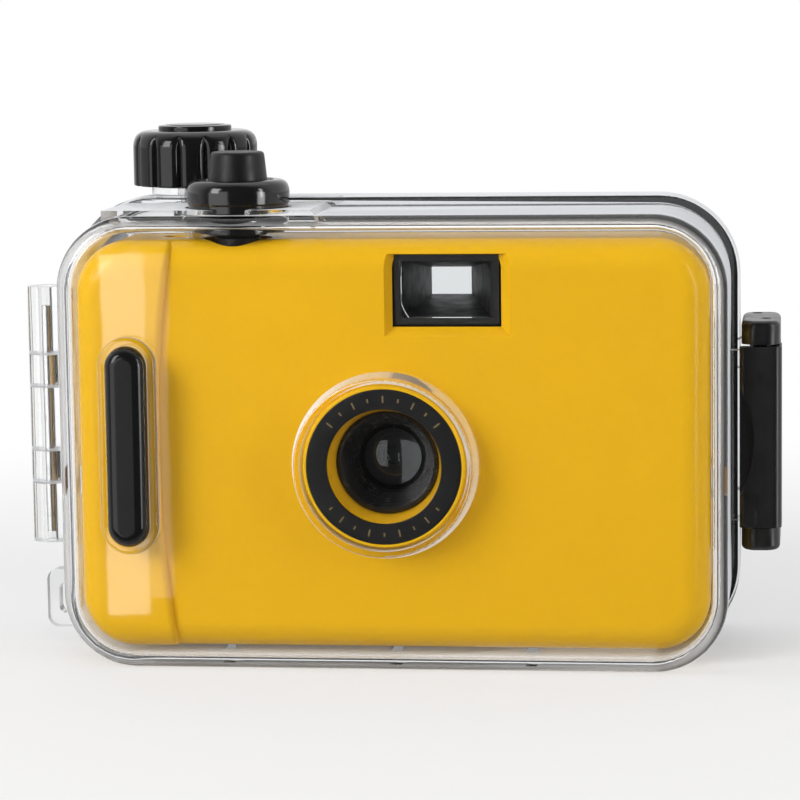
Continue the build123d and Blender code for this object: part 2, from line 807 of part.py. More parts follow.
with BuildPart() as grip_form:
    with BuildSketch(at_depth(cover_back)):
        camera_outline(0)
    extrude(amount=cover_back - camera_front + bulge_rise)
    fillet(grip_form.faces().sort_by(Axis.Y)[0].edges(), camera_front_round)
    with BuildSketch(at_depth(cover_back)):
        with BuildLine():
            middle_z = (camera_top + camera_bottom) / 2
            high_end = (bulge_x, camera_top + 1)
            low_end = (bulge_x, camera_bottom - 1)
            ThreePointArc(high_end, (bulge_x - bulge_bow, middle_z), low_end)
            Polyline(low_end, (camera_left - 1, camera_bottom - 1),
                     (camera_left - 1, camera_top + 1), high_end)
        make_face()
    extrude(amount=cover_back - camera_front + 2 * bulge_rise, mode=Mode.INTERSECT)
    inner_edge = grip_form.faces().sort_by(Axis.Y)[0].edges().sort_by(Axis.X)[-1]
    fillet(inner_edge, bulge_rise * 0.9)

# The camera's hollow, with the button's pocket left standing in it
with BuildPart() as camera_hollow:
    with BuildSketch(at_depth(cover_back)):
        camera_outline(cover_wall)
    extrude(amount=cover_back - camera_front - cover_wall)
    fillet(camera_hollow.faces().sort_by(Axis.Y)[0].edges(), camera_front_round - cover_wall)
    add_post(button_x, button_y, pocket_floor - cover_wall, camera_top,
             pocket_radius + cover_wall * 0.8, Mode.SUBTRACT)

with BuildPart() as camera_front_cover:
    add(front_form.part)
    add(grip_form.part)
    # Turret round the lens
    add_plug(lens_x, lens_z, -turret_front, camera_front + cover_wall, turret_radius)
    fillet(camera_front_cover.faces().sort_by(Axis.Y)[0].edges(), 0.4)
    add(camera_hollow.part, mode=Mode.SUBTRACT)
    add_plug(lens_x, lens_z, -turret_front, -turret_front + ring_thickness, ring_outer + seat_fit,
             Mode.SUBTRACT)
    with BuildSketch(at_depth(-turret_front + ring_thickness)):
        with Locations((lens_x, lens_z)):
            Circle(ring_inner)
    with BuildSketch(at_depth(barrel_front)):
        with Locations((lens_x, lens_z)):
            Circle(barrel_radius + seat_fit)
    loft(mode=Mode.SUBTRACT)
    add_plug(lens_x, lens_z, barrel_front, cover_back, barrel_radius + seat_fit, Mode.SUBTRACT)
    # Viewfinder opening with its bevel
    with BuildSketch(at_depth(camera_front)):
        with Locations((finder_x, finder_z)):
            Rectangle(finder_width, finder_height)
    with BuildSketch(at_depth(finder_front)):
        with Locations((window_x, window_z)):
            Rectangle(window_width, window_height)
    loft(mode=Mode.SUBTRACT)
    add_block((window_x - window_width / 2, window_x + window_width / 2),
              (camera_front, cover_back),
              (window_z - window_height / 2, window_z + window_height / 2), Mode.SUBTRACT)
    # Pocket for the case's button, the release's bore and the frame counter's window
    add_post(button_x, button_y, pocket_floor, camera_top, pocket_radius, Mode.SUBTRACT)
    add_post(button_x, button_y, pocket_floor - 2 * cover_wall, camera_top,
             release_radius + part_gap / 2, Mode.SUBTRACT)
    add_post(spool_x, spool_y - dial_radius / 2 - dial_window, camera_top - 2 * cover_wall,
             camera_top, dial_window, Mode.SUBTRACT)
camera_front_cover.part.label = "camera_front_cover"
export_step(camera_front_cover.part, "parts/camera_front_cover.step")

# The camera's rear form, which the chassis and the film door share
with BuildPart() as rear_form:
    with BuildSketch(at_depth(cover_back)):
        camera_outline(0)
    extrude(amount=-(camera_rear - cover_back))
    fillet(rear_form.faces().sort_by(Axis.Y)[-1].edges(), camera_rear_round)

spool_low = chamber_low
spool_high = chamber_high
notch_left = camera_left - 1
notch_right = knob_x + knob_radius
notch_floor = pinion_low - notch_clearance
notch_front = knob_y - knob_boss_radius + part_gap
door_slot_left = door_hinge_x - door_hinge_inset - part_gap / 2
with BuildPart() as chassis_form:
    add(rear_form.part)
    # Core that reaches forward into the cover
    with BuildSketch(at_depth(cover_back)):
        camera_outline(cover_wall + part_gap)
    extrude(amount=cover_back - core_front)
    # Room for the film door and for the case's pinion
    add_block((door_slot_left, door_end + part_gap), (door_inner, camera_rear + 1),
              (door_low - part_gap, door_high + part_gap), Mode.SUBTRACT)
    add_block((notch_left, notch_right), (notch_front, camera_rear + 1),
              (notch_floor, camera_top + 1), Mode.SUBTRACT)
    # Cartridge chamber, spool room and sprocket room, open to the rear
    add_post(chamber_x, chamber_y, chamber_low, chamber_high, chamber_radius, Mode.SUBTRACT)
    add_block((chamber_x - chamber_radius + part_gap, chamber_x + chamber_radius - part_gap),
              (chamber_y, door_inner + 1), (chamber_low, chamber_high), Mode.SUBTRACT)
    add_post(spool_x, spool_y, spool_low, spool_high, spool_room, Mode.SUBTRACT)
    add_block((spool_x - spool_room * 0.8, spool_x + spool_room * 0.8), (spool_y, door_inner + 1),
              (spool_low, spool_high), Mode.SUBTRACT)
    add_post(sprocket_x, sprocket_y, film_middle - film_width / 2 - 2,
             film_middle + film_width / 2 + 2, sprocket_room, Mode.SUBTRACT)
    # Film track, and the light's way from the shutter to the film
    add_block((spool_x, chamber_x), (film_plane, door_inner + 1),
              (film_middle - film_width / 2 - track_rail, film_middle + film_width / 2 + track_rail),
              Mode.SUBTRACT)
    with BuildSketch(at_depth(shutter_wall)):
        with Locations((lens_x, lens_z)):
            Rectangle(gate_front_width, gate_front_height)
    with BuildSketch(at_depth(film_plane)):
        with Locations((lens_x, lens_z)):
            Rectangle(gate_width, gate_height)
    loft(mode=Mode.SUBTRACT)
    add_plug(lens_x, lens_z, core_front, shutter_wall, shutter_room_radius, Mode.SUBTRACT)
    # Finder tunnel and eyepiece
    add_block((window_x - window_width / 2, window_x + window_width / 2),
              (core_front, finder_rear + part_gap / 2),
              (window_z - window_height / 2, window_z + window_height / 2), Mode.SUBTRACT)
    add_block((eyepiece_x - eyepiece_width / 2, eyepiece_x + eyepiece_width / 2),
              (finder_rear, camera_rear),
              (eyepiece_z - eyepiece_height / 2, eyepiece_z + eyepiece_height / 2), Mode.SUBTRACT)
    # Gear room, dial room and the room round the release
    add_post(spool_x, spool_y, wheel_level - part_gap, wheel_high + part_gap,
             gear_module * (wheel_teeth / 2 + 1) + 0.6, Mode.SUBTRACT)
    add_post(spool_x, spool_y, wheel_high, dial_low + dial_thickness + part_gap,
             dial_radius + part_gap, Mode.SUBTRACT)
    add_post(button_x, button_y, door_high, camera_top, pocket_radius + 2 * cover_wall,
             Mode.SUBTRACT)
    # Bores for the spool's shaft, the sprocket, the door pin and the rewind fork
    add_post(spool_x, spool_y, spool_low - 3, dial_low, wheel_bore + running_fit, Mode.SUBTRACT)
    add_post(chamber_x, chamber_y, camera_bottom, camera_bottom + crank_thickness + part_gap,
             crank_radius + running_fit, Mode.SUBTRACT)
    add_post(chamber_x, chamber_y, camera_bottom, chamber_low, fork_radius + running_fit,
             Mode.SUBTRACT)
    add_post(door_hinge_x, door_hinge_y, door_low - door_pin_reach, door_high + door_pin_reach,
             door_pin_radius + seat_fit, Mode.SUBTRACT)
    # Pocket for the door's slider in the right-hand side
    add_block((camera_right - slider_depth, camera_right + 1),
              (chamber_y, chamber_y + slider_width + 2 * running_fit),
              (side_rib_level, side_rib_level + slider_height + slider_travel + part_gap),
              Mode.SUBTRACT)

# The cartridge well and the roof over it are mouldings of their own
well_sides = ((chamber_x - chamber_radius - 2 * cover_wall, camera_right + 1),
              (core_front - 1, camera_rear + 1))
roof_level = chamber_high - part_gap
with BuildPart() as camera_chassis:
    add(chassis_form.part)
    add_block(*well_sides, (camera_bottom - 1, camera_top + 1), Mode.SUBTRACT)
camera_chassis.part.label = "camera_chassis"
export_step(camera_chassis.part, "parts/camera_chassis.step")

with BuildPart() as cartridge_well:
    add(chassis_form.part)
    add_block(*well_sides, (camera_bottom - 1, roof_level), Mode.INTERSECT)
cartridge_well.part.label = "cartridge_well"
export_step(cartridge_well.part, "parts/cartridge_well.step")

with BuildPart() as chamber_roof:
    add(chassis_form.part)
    add_block(*well_sides, (roof_level, camera_top + 1), Mode.INTERSECT)
chamber_roof.part.label = "chamber_roof"
export_step(chamber_roof.part, "parts/chamber_roof.step")

# The camera's lens
with BuildPart() as lens_ring:
    add_plug(lens_x, lens_z, -turret_front, -turret_front + ring_thickness, ring_outer)
    add_plug(lens_x, lens_z, -turret_front, -turret_front + ring_thickness, ring_inner,
             Mode.SUBTRACT)
    chamfer(lens_ring.faces().sort_by(Axis.Y)[0].edges(), ring_thickness / 4)
lens_ring.part.label = "lens_ring"
export_step(lens_ring.part, "parts/lens_ring.step")

glass_front = barrel_front + glass_setback
with BuildPart() as lens_barrel:
    add_plug(lens_x, lens_z, barrel_front, barrel_back, barrel_radius)
    fillet(lens_barrel.faces().sort_by(Axis.Y)[0].edges(), 0.8)
    # Stepped mouth that narrows to the glass
    for step in range(3):
        mouth = glass_radius + (3 - step) * 0.7
        depth = glass_setback * (step + 1) / 4
        add_plug(lens_x, lens_z, barrel_front, barrel_front + depth, mouth, Mode.SUBTRACT)
    add_plug(lens_x, lens_z, barrel_front, glass_front + glass_thickness,
             glass_radius + seat_fit, Mode.SUBTRACT)
    add_plug(lens_x, lens_z, barrel_front, barrel_back, glass_radius - 1, Mode.SUBTRACT)
lens_barrel.part.label = "lens_barrel"
export_step(lens_barrel.part, "parts/lens_barrel.step")

with BuildPart() as lens_glass:
    with BuildSketch(Plane((lens_x, glass_front + glass_thickness, lens_z),
                           x_dir=(1, 0, 0), z_dir=(0, 0, 1))):
        with BuildLine():
            dome = glass_thickness * 0.45
            ThreePointArc((0, -glass_thickness), (glass_radius * 0.6, -glass_thickness + dome * 0.35),
                          (glass_radius, -glass_thickness + dome))
            Polyline((glass_radius, -glass_thickness + dome), (glass_radius, 0), (0, 0),
                     (0, -glass_thickness))
        make_face()
    revolve(axis=Axis((lens_x, 0, lens_z), (0, 1, 0)))
lens_glass.part.label = "lens_glass"
export_step(lens_glass.part, "parts/lens_glass.step")

pivot_x = lens_x + blade_pivot_x
pivot_z = lens_z + blade_pivot_z
with BuildPart() as aperture_plate:
    add_plug(lens_x, lens_z, barrel_back, plate_back, barrel_radius)
    add_plug(pivot_x, pivot_z, barrel_back, plate_back, blade_radius)
    add_plug(lens_x, lens_z, barrel_back, plate_back, pupil_radius, Mode.SUBTRACT)
    add_plug(pivot_x, pivot_z, barrel_back, blade_back + part_gap, stem_radius / 2)
aperture_plate.part.label = "aperture_plate"
export_step(aperture_plate.part, "parts/aperture_plate.step")

with BuildPart() as shutter_blade:
    with BuildSketch(at_depth(blade_back)):
        with Locations((lens_x, lens_z)):
            Circle(blade_radius)
        with Locations((pivot_x, pivot_z)):
            Circle(blade_radius * 0.7)
        with BuildLine():
            Line((lens_x, lens_z), (pivot_x, pivot_z))
        trace(line_width=blade_radius)
    extrude(amount=blade_thickness)
    add_plug(pivot_x, pivot_z, blade_front, blade_back, stem_radius / 2 + running_fit,
             Mode.SUBTRACT)
shutter_blade.part.label = "shutter_blade"
export_step(shutter_blade.part, "parts/shutter_blade.step")

# The viewfinder: a black tunnel that narrows to the eyepiece
with BuildPart() as finder_frame:
    with BuildSketch(at_depth(finder_rear)):
        with Locations((window_x, window_z)):
            Rectangle(window_width - 2 * seat_fit, window_height - 2 * seat_fit)
    extrude(amount=finder_rear - finder_front)
    with BuildSketch(at_depth(finder_front)):
        with Locations((window_x, window_z)):
            Rectangle(window_width - 2 * finder_wall, window_height - 2 * finder_wall)
    with BuildSketch(at_depth(finder_rear)):
        with Locations((eyepiece_x, eyepiece_z)):
            Rectangle(eyepiece_width - 2 * finder_wall, eyepiece_height - finder_wall)
    loft(mode=Mode.SUBTRACT)
    # Straight seat for the front lens
    add_block((window_x - window_width / 2 + finder_wall, window_x + window_width / 2 - finder_wall),
              (finder_front, finder_front + 2 * finder_glass),
              (window_z - window_height / 2 + finder_wall, window_z + window_height / 2 - finder_wall),
              Mode.SUBTRACT)
finder_frame.part.label = "finder_frame"
export_step(finder_frame.part, "parts/finder_frame.step")

with BuildPart() as finder_lens:
    lens_face = finder_front + 0.5
    with BuildSketch(at_depth(lens_face + finder_glass)):
        with Locations((window_x, window_z)):
            Rectangle(window_width - 2 * finder_wall - 2 * seat_fit,
                      window_height - 2 * finder_wall - 2 * seat_fit)
    extrude(amount=finder_glass / 2)
    with BuildSketch(at_depth(lens_face + finder_glass / 2)):
        with Locations((window_x, window_z)):
            Rectangle(window_width - 2 * finder_wall - 2 * seat_fit,
                      window_height - 2 * finder_wall - 2 * seat_fit)
            Circle(finder_lens_radius, mode=Mode.INTERSECT)
    extrude(amount=finder_glass / 2)
finder_lens.part.label = "finder_lens"
export_step(finder_lens.part, "parts/finder_lens.step")

with BuildPart() as finder_eyepiece:
    with BuildSketch(at_depth(camera_rear - 0.5)):
        with Locations((eyepiece_x, eyepiece_z)):
            Rectangle(eyepiece_width - 2 * seat_fit, eyepiece_height - 2 * seat_fit)
    extrude(amount=eyepiece_depth)
finder_eyepiece.part.label = "finder_eyepiece"
export_step(finder_eyepiece.part, "parts/finder_eyepiece.step")

# Release, frame counter, take-up spool and sprocket
with BuildPart() as release_button:
    add_post(button_x, button_y, release_top - release_length, release_top, release_radius)
    fillet(release_button.faces().sort_by(Axis.Z)[-1].edges(), 0.5)
release_button.part.label = "release_button"
export_step(release_button.part, "parts/release_button.step")

with BuildPart() as counter_dial:
    add_post(spool_x, spool_y, dial_low, dial_low + dial_thickness, dial_radius)
    add_post(spool_x, spool_y, dial_low, dial_low + dial_thickness, wheel_bore + running_fit,
             Mode.SUBTRACT)
counter_dial.part.label = "counter_dial"
export_step(counter_dial.part, "parts/counter_dial.step")

with BuildPart() as takeup_spool:
    add_post(spool_x, spool_y, spool_low + part_gap, spool_high - part_gap, spool_radius)
    for low in (spool_low + part_gap, spool_high - part_gap - spool_flange_thickness):
        add_post(spool_x, spool_y, low, low + spool_flange_thickness, spool_flange)
    # Slot that takes the film's end, the shaft to the wheel and the lower pivot
    add_block((spool_x - spool_radius, spool_x + spool_radius), (spool_y - 0.6, spool_y + 0.6),
              (film_middle - film_width / 4, film_middle + film_width / 4), Mode.SUBTRACT)
    add_post(spool_x, spool_y, spool_high - part_gap, dial_low + dial_thickness, wheel_bore)
    add_post(spool_x, spool_y, spool_low - 2, spool_low + part_gap, wheel_bore)
takeup_spool.part.label = "takeup_spool"
export_step(takeup_spool.part, "parts/takeup_spool.step")

with BuildPart() as sprocket:
    sprocket_low = film_middle - film_width / 2 - 2 + part_gap
    sprocket_high = film_middle + film_width / 2 + 2 - part_gap
    add_post(sprocket_x, sprocket_y, sprocket_low, sprocket_high, sprocket_radius * 0.7)
    for low in (film_middle - film_width / 2, film_middle + film_width / 2 - 2):
        with BuildSketch(at_level(low)):
            with Locations((sprocket_x, sprocket_y)):
                Circle(sprocket_radius * 0.9)
                with PolarLocations(sprocket_radius * 0.9, sprocket_teeth):
                    Rectangle(sprocket_radius * 0.2, 1)
        extrude(amount=2)
sprocket.part.label = "sprocket"
export_step(sprocket.part, "parts/sprocket.step")

# Film door with its barrel, pin, pressure plate and side slider
with BuildPart() as film_door:
    add(rear_form.part)
    add_block((door_hinge_x, door_end), (door_inner + part_gap / 2, camera_rear + 1),
              (door_low, door_high), Mode.INTERSECT)
    add_post(door_hinge_x, door_hinge_y, door_low, door_high, door_barrel_radius)
    # Finger grooves near the free end
    for level in (door_low + 12, door_high - 12):
        add_block((camera_right / 2, camera_right * 0.85),
                  (camera_rear - 0.5, camera_rear + 1), (level - 0.8, level + 0.8), Mode.SUBTRACT)
    add_post(door_hinge_x, door_hinge_y, door_low, door_high, door_pin_radius + running_fit,
             Mode.SUBTRACT)
film_door.part.label = "film_door"
export_step(film_door.part, "parts/film_door.step")

with BuildPart() as film_door_pin:
    add_post(door_hinge_x, door_hinge_y, door_low - door_pin_reach, door_high + door_pin_reach,
             door_pin_radius)
film_door_pin.part.label = "film_door_pin"
export_step(film_door_pin.part, "parts/film_door_pin.step")

with BuildPart() as pressure_plate:
    with BuildSketch(at_depth(door_inner + part_gap / 2)):
        with Locations((lens_x, film_middle)):
            RectangleRounded(plate_width, plate_height, 2)
    extrude(amount=door_inner + part_gap / 2 - film_plane - 0.7)
    chamfer(pressure_plate.faces().sort_by(Axis.Y)[0].edges(), 0.5)
pressure_plate.part.label = "pressure_plate"
export_step(pressure_plate.part, "parts/pressure_plate.step")

with BuildPart() as door_slider:
    add_block((camera_right - slider_depth + running_fit, camera_right),
              (chamber_y + running_fit, chamber_y + slider_width + running_fit),
              (side_rib_level + running_fit, side_rib_level + slider_height))
    for step in range(3):
        groove = side_rib_level + slider_height * (step + 1) / 4
        add_block((camera_right - 0.4, camera_right + 1),
                  (chamber_y, chamber_y + slider_width + 1), (groove - 0.4, groove + 0.4),
                  Mode.SUBTRACT)
door_slider.part.label = "door_slider"
export_step(door_slider.part, "parts/door_slider.step")

# Rewind crank in the bottom, and the fork that turns the cartridge
with BuildPart() as rewind_crank:
    add_post(chamber_x, chamber_y, camera_bottom, camera_bottom + crank_thickness, crank_radius)
    for side in (-1, 1):
        add_block((chamber_x + side * 2.2 - 0.9, chamber_x + side * 2.2 + 0.9),
                  (chamber_y - 2.6, chamber_y + 2.6), (camera_bottom, camera_bottom + 1),
                  Mode.SUBTRACT)
rewind_crank.part.label = "rewind_crank"
export_step(rewind_crank.part, "parts/rewind_crank.step")

with BuildPart() as rewind_fork:
    add_post(chamber_x, chamber_y, camera_bottom + crank_thickness, chamber_low + fork_reach,
             fork_radius)
    add_block((chamber_x - fork_radius, chamber_x + fork_radius), (chamber_y - 0.8, chamber_y + 0.8),
              (chamber_low + fork_reach / 2, chamber_low + fork_reach), Mode.SUBTRACT)
rewind_fork.part.label = "rewind_fork"
export_step(rewind_fork.part, "parts/rewind_fork.step")
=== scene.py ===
"""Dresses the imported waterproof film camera: a clear hinged case with a yellow camera inside."""
import json

import bmesh
import bpy
import numpy as np
from bpy.props import FloatProperty, FloatVectorProperty, IntProperty, PointerProperty
from mathutils import Matrix, Vector

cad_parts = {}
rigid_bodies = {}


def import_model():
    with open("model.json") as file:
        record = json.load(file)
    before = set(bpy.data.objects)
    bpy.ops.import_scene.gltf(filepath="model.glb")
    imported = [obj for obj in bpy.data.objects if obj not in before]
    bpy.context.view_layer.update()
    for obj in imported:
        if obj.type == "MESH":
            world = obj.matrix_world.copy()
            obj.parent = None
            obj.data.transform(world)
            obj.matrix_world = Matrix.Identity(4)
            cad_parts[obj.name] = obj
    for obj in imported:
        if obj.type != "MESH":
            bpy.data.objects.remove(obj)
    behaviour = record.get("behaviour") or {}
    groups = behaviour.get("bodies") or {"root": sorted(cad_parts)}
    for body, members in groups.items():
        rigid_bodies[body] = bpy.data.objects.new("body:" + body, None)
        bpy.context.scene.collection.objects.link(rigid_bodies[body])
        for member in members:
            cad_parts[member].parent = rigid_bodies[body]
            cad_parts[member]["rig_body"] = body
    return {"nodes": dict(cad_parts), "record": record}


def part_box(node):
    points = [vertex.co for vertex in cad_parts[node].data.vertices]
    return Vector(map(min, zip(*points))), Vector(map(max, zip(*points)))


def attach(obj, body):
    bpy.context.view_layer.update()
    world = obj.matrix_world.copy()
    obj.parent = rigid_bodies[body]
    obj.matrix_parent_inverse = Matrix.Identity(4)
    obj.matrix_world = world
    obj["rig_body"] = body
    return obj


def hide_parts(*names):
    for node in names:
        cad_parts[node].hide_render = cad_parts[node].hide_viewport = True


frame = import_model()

bl_info = {
    "name": "Waterproof film camera dresser",
    "version": (1, 0, 0),
    "blender": (4, 5, 0),
    "location": "3D View > Sidebar > Film camera",
    "description": "Gives the packed film camera its finishes, fine pieces, light and view",
    "category": "Object",
}

MM = 0.001


def middle(node):
    """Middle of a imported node's box, in metres."""
    low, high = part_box(node)
    return (low + high) / 2


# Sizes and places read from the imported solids

RING_LOW, RING_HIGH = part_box("lens_ring")
LENS_X, LENS_Z = middle("lens_ring").x, middle("lens_ring").z
RING_RADIUS = (RING_HIGH.x - RING_LOW.x) / 2
BARREL_LOW, BARREL_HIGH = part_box("lens_barrel")
BARREL_RADIUS = (BARREL_HIGH.x - BARREL_LOW.x) / 2
GLASS_LOW, GLASS_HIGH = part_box("lens_glass")
GLASS_RADIUS = (GLASS_HIGH.x - GLASS_LOW.x) / 2
KNOB_LOW, KNOB_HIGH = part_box("wind_knob")
KNOB_RADIUS = (KNOB_HIGH.y - KNOB_LOW.y) / 2
DISC_LOW, DISC_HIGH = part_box("knob_disc")
DISC_RADIUS = (DISC_HIGH.x - DISC_LOW.x) / 2
KNOB_X, KNOB_Y = middle("knob_disc").x, middle("knob_disc").y
COLLAR_LOW, COLLAR_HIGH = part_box("button_collar")
COLLAR_RADIUS = (COLLAR_HIGH.x - COLLAR_LOW.x) / 2
CAP_LOW, CAP_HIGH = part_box("button_cap")
CAP_RADIUS = (CAP_HIGH.x - CAP_LOW.x) / 2
BUTTON_X, BUTTON_Y = middle("button_cap").x, middle("button_cap").y

# Vertices nearer than these, in metres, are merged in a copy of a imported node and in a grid
COPY_GAP = 0.4e-6
GRID_GAP = 0.2e-6

# Edges of each softbox, left, right, low and high, as tangents, and its power
SOFTBOXES = ((-1.7, -0.25, -0.4, 0.3, 2.0), (-0.2195, -0.2055, -0.195, -0.082, 2.6),
             (-0.2055, -0.1985, -0.19, -0.082, 1.0), (1.4, 3.0, -0.4, 0.4, 7.0))


class Reading:
    """A number in a material. Sums written with it add Math nodes, so 1 - mask works."""

    def __init__(self, finish, socket):
        self.finish = finish
        self.socket = socket

    def _sum(self, operation, first, second=0.0):
        return Reading(self.finish, self.finish.node(
            "ShaderNodeMath", {"operation": operation}, {0: first, 1: second}))

    def __add__(self, other):
        return self._sum("ADD", self, other)

    def __radd__(self, other):
        return self._sum("ADD", other, self)

    def __sub__(self, other):
        return self._sum("SUBTRACT", self, other)

    def __rsub__(self, other):
        return self._sum("SUBTRACT", other, self)

    def __mul__(self, other):
        return self._sum("MULTIPLY", self, other)

    def __rmul__(self, other):
        return self._sum("MULTIPLY", other, self)

    def __truediv__(self, other):
        return self._sum("DIVIDE", self, other)

    def __gt__(self, other):
        return self._sum("GREATER_THAN", self, other)

    def maximum(self, other):
        """The larger of two numbers."""
        return self._sum("MAXIMUM", self, other)

    def clear_of(self, low, high):
        """0 up to low, 1 from high, and a smooth step between them."""
        return Reading(self.finish, self.finish.node(
            "ShaderNodeMapRange", {"clamp": True, "interpolation_type": "SMOOTHSTEP"},
            {"Value": self, "From Min": low, "From Max": high}))


class Finish:
    """A material, or the world, built up node by node."""

    def __init__(self, owner):
        owner.use_nodes = True
        self.owner = owner
        self.tree = owner.node_tree
        self.tree.nodes.clear()

    def node(self, kind, settings=None, inputs=None, output=0):
        """Adds a node, sets it up, fills its inputs with values or links, gives one output."""
        made = self.tree.nodes.new(kind)
        for key, value in (settings or {}).items():
            setattr(made, key, value)
        for key, value in (inputs or {}).items():
            value = value.socket if isinstance(value, Reading) else value
            if isinstance(value, bpy.types.NodeSocket):
                self.tree.links.new(value, made.inputs[key])
            else:
                made.inputs[key].default_value = value
        return made.outputs[output] if made.outputs else None

    def place(self, scale=(1, 1, 1)):
        """Object coordinates, stretched by scale."""
        coordinates = self.node("ShaderNodeTexCoord", output="Object")
        return self.node("ShaderNodeVectorMath", {"operation": "MULTIPLY"},
                         {0: coordinates, 1: scale})

    def noise(self, size, detail=3.0, roughness=0.5, stretch=(1, 1, 1)):
        """Cloudy noise from 0 to 1 whose blotches are about this size in metres."""
        return Reading(self, self.node(
            "ShaderNodeTexNoise", {"noise_dimensions": "3D"},
            {"Vector": self.place(stretch), "Scale": 1 / size, "Detail": detail,
             "Roughness": roughness}))

    def blend(self, factor, first, second):
        """One colour mixed into another."""
        return self.node("ShaderNodeMix", {"data_type": "RGBA"},
                         {"Factor": factor, 6: first, 7: second}, output=2)

    def bump(self, height, depth):
        """A bumped normal from a height of 0 to 1, depth in metres."""
        return self.node("ShaderNodeBump", inputs={"Height": height, "Distance": depth,
                                                   "Strength": 1.0})

    def path(self, name):
        """A reading of the ray that meets the surface, by its name in Light Path."""
        return Reading(self, self.node("ShaderNodeLightPath", output=name))

    def seen(self):
        """1 where the camera looks, straight or through clear plastic, else 0."""
        return self.path("Is Camera Ray").maximum(
            self.path("Is Transmission Ray") * (1 - (self.path("Diffuse Depth") > 0.5)
                                                .maximum(self.path("Glossy Depth") > 0.5)))

    def mirrored(self):
        """1 where a gloss or an inner face of clear plastic shows the place, else 0."""
        return (self.path("Glossy Depth") > 0.5) * (1 - (self.path("Diffuse Depth") > 0.5))

    def end(self, shader):
        """Puts the shader out and gives the material or world back."""
        kind = "World" if isinstance(self.owner, bpy.types.World) else "Material"
        self.node("ShaderNodeOutput" + kind, inputs={"Surface": shader})
        return self.owner


def new_finish(name):
    """An empty material to build on."""
    return Finish(bpy.data.materials.new(name))


def rgba(colour):
    """A colour with its alpha."""
    return (*colour[:3], 1.0)


def shade(colour, amount):
    """A colour made lighter or darker by a factor."""
    return tuple(min(1.0, part * amount) for part in colour[:3]) + (1.0,)


def moulded(name, colour, roughness, grain=0.12 * MM, grain_depth=0.004 * MM, spread=0.12,
            coat=0.0, waves=0.0, shine=0.5):
    """Moulded plastic: faint flow marks in the colour, uneven gloss, fine grain."""
    f = new_finish(name)
    flow = f.noise(9 * MM, 4.0, 0.6)
    fine = f.noise(grain, 2.0, 0.5)
    handled = f.noise(3 * MM, 5.0, 0.65)
    tone = f.blend(flow.clear_of(0.3, 0.7), shade(colour, 1 - spread / 2),
                   shade(colour, 1 + spread / 2))
    gloss = roughness + (handled.clear_of(0.35, 0.75) - 0.5) * (roughness * 0.35)
    height = fine * 0.7 + f.noise(14 * MM, 1.0, 0.4) * waves
    return f.end(f.node("ShaderNodeBsdfPrincipled", inputs={
        "Base Color": tone, "Roughness": gloss, "Coat Weight": coat, "Coat Roughness": 0.06,
        "Specular IOR Level": shine, "Normal": f.bump(height, grain_depth)}))


def rubbery(name, colour):
    """Soft black rubber: dull, with dust in its pores."""
    f = new_finish(name)
    pores = f.noise(0.25 * MM, 3.0, 0.6)
    dust = f.noise(2.5 * MM, 5.0, 0.7).clear_of(0.55, 0.8)
    tone = f.blend(dust, rgba(colour), shade(colour, 2.0))
    return f.end(f.node("ShaderNodeBsdfPrincipled", inputs={
        "Base Color": tone, "Roughness": 0.55 + pores * 0.2, "Specular IOR Level": 0.4,
        "Normal": f.bump(pores, 0.01 * MM)}))


def turned_steel(name, colour, roughness=0.24):
    """Drawn steel: long fine lines along the pin, a few darker stains."""
    f = new_finish(name)
    lines = f.noise(0.08 * MM, 3.0, 0.6, stretch=(1, 1, 0.06))
    stain = f.noise(2 * MM, 3.0, 0.6).clear_of(0.5, 0.8)
    tone = f.blend(stain, rgba(colour), shade(colour, 0.72))
    return f.end(f.node("ShaderNodeBsdfPrincipled", inputs={
        "Base Color": tone, "Metallic": 1.0, "Roughness": roughness + lines * 0.16,
        "Normal": f.bump(lines, 0.003 * MM)}))


def see_through(name, colour, roughness=0.012, index=1.5, ripple=0.0, lamp_share=0.94,
                edge_light_share=0.0):
    """Clear moulded plastic or glass: light bends in it, and lamps reach what is inside. A painted
    white is mixed in where it is seen edge on. It stands in for the light that its rims reflect
    and bend, so it is painted reflection."""
    f = new_finish(name)
    wipe = f.noise(6 * MM, 5.0, 0.7).clear_of(0.5, 0.85)
    tone = f.blend(f.noise(20 * MM, 2.0, 0.5), rgba(colour), shade(colour, 0.985))
    inputs = {"Base Color": tone, "Roughness": roughness + wipe * roughness * 1.5, "IOR": index,
              "Transmission Weight": 1.0}
    if ripple:
        inputs["Normal"] = f.bump(f.noise(11 * MM, 1.0, 0.4), ripple)
    glass = f.node("ShaderNodeBsdfPrincipled", inputs=inputs)
    if edge_light_share:
        # Painted reflection: a white diffuse where the surface is seen edge on, in place of the
        # light that the rims reflect and bend
        edge = Reading(f, f.node("ShaderNodeLayerWeight", inputs={"Blend": 0.5}, output="Facing"))
        painted_edge_white = f.node("ShaderNodeBsdfDiffuse", inputs={"Color": (0.86, 0.875, 0.9, 1)})
        glass = f.node("ShaderNodeMixShader", inputs={
            0: edge.clear_of(0.6, 0.95) * edge_light_share, 1: glass, 2: painted_edge_white})
    clear = f.node("ShaderNodeBsdfTransparent", inputs={"Color": (lamp_share,) * 3 + (1.0,)})
    lamp_ray = f.node("ShaderNodeLightPath", output="Is Shadow Ray")
    return f.end(f.node("ShaderNodeMixShader", inputs={0: lamp_ray, 1: glass, 2: clear}))


def printed(name, colour):
    """Thin metallic print: a worn gold ink."""
    f = new_finish(name)
    worn = f.noise(0.3 * MM, 4.0, 0.7).clear_of(0.45, 0.75)
    tone = f.blend(worn, rgba(colour), shade(colour, 0.7))
    return f.end(f.node("ShaderNodeBsdfPrincipled", inputs={
        "Base Color": tone, "Metallic": 0.35, "Roughness": 0.42 + worn * 0.2}))


# Meshes

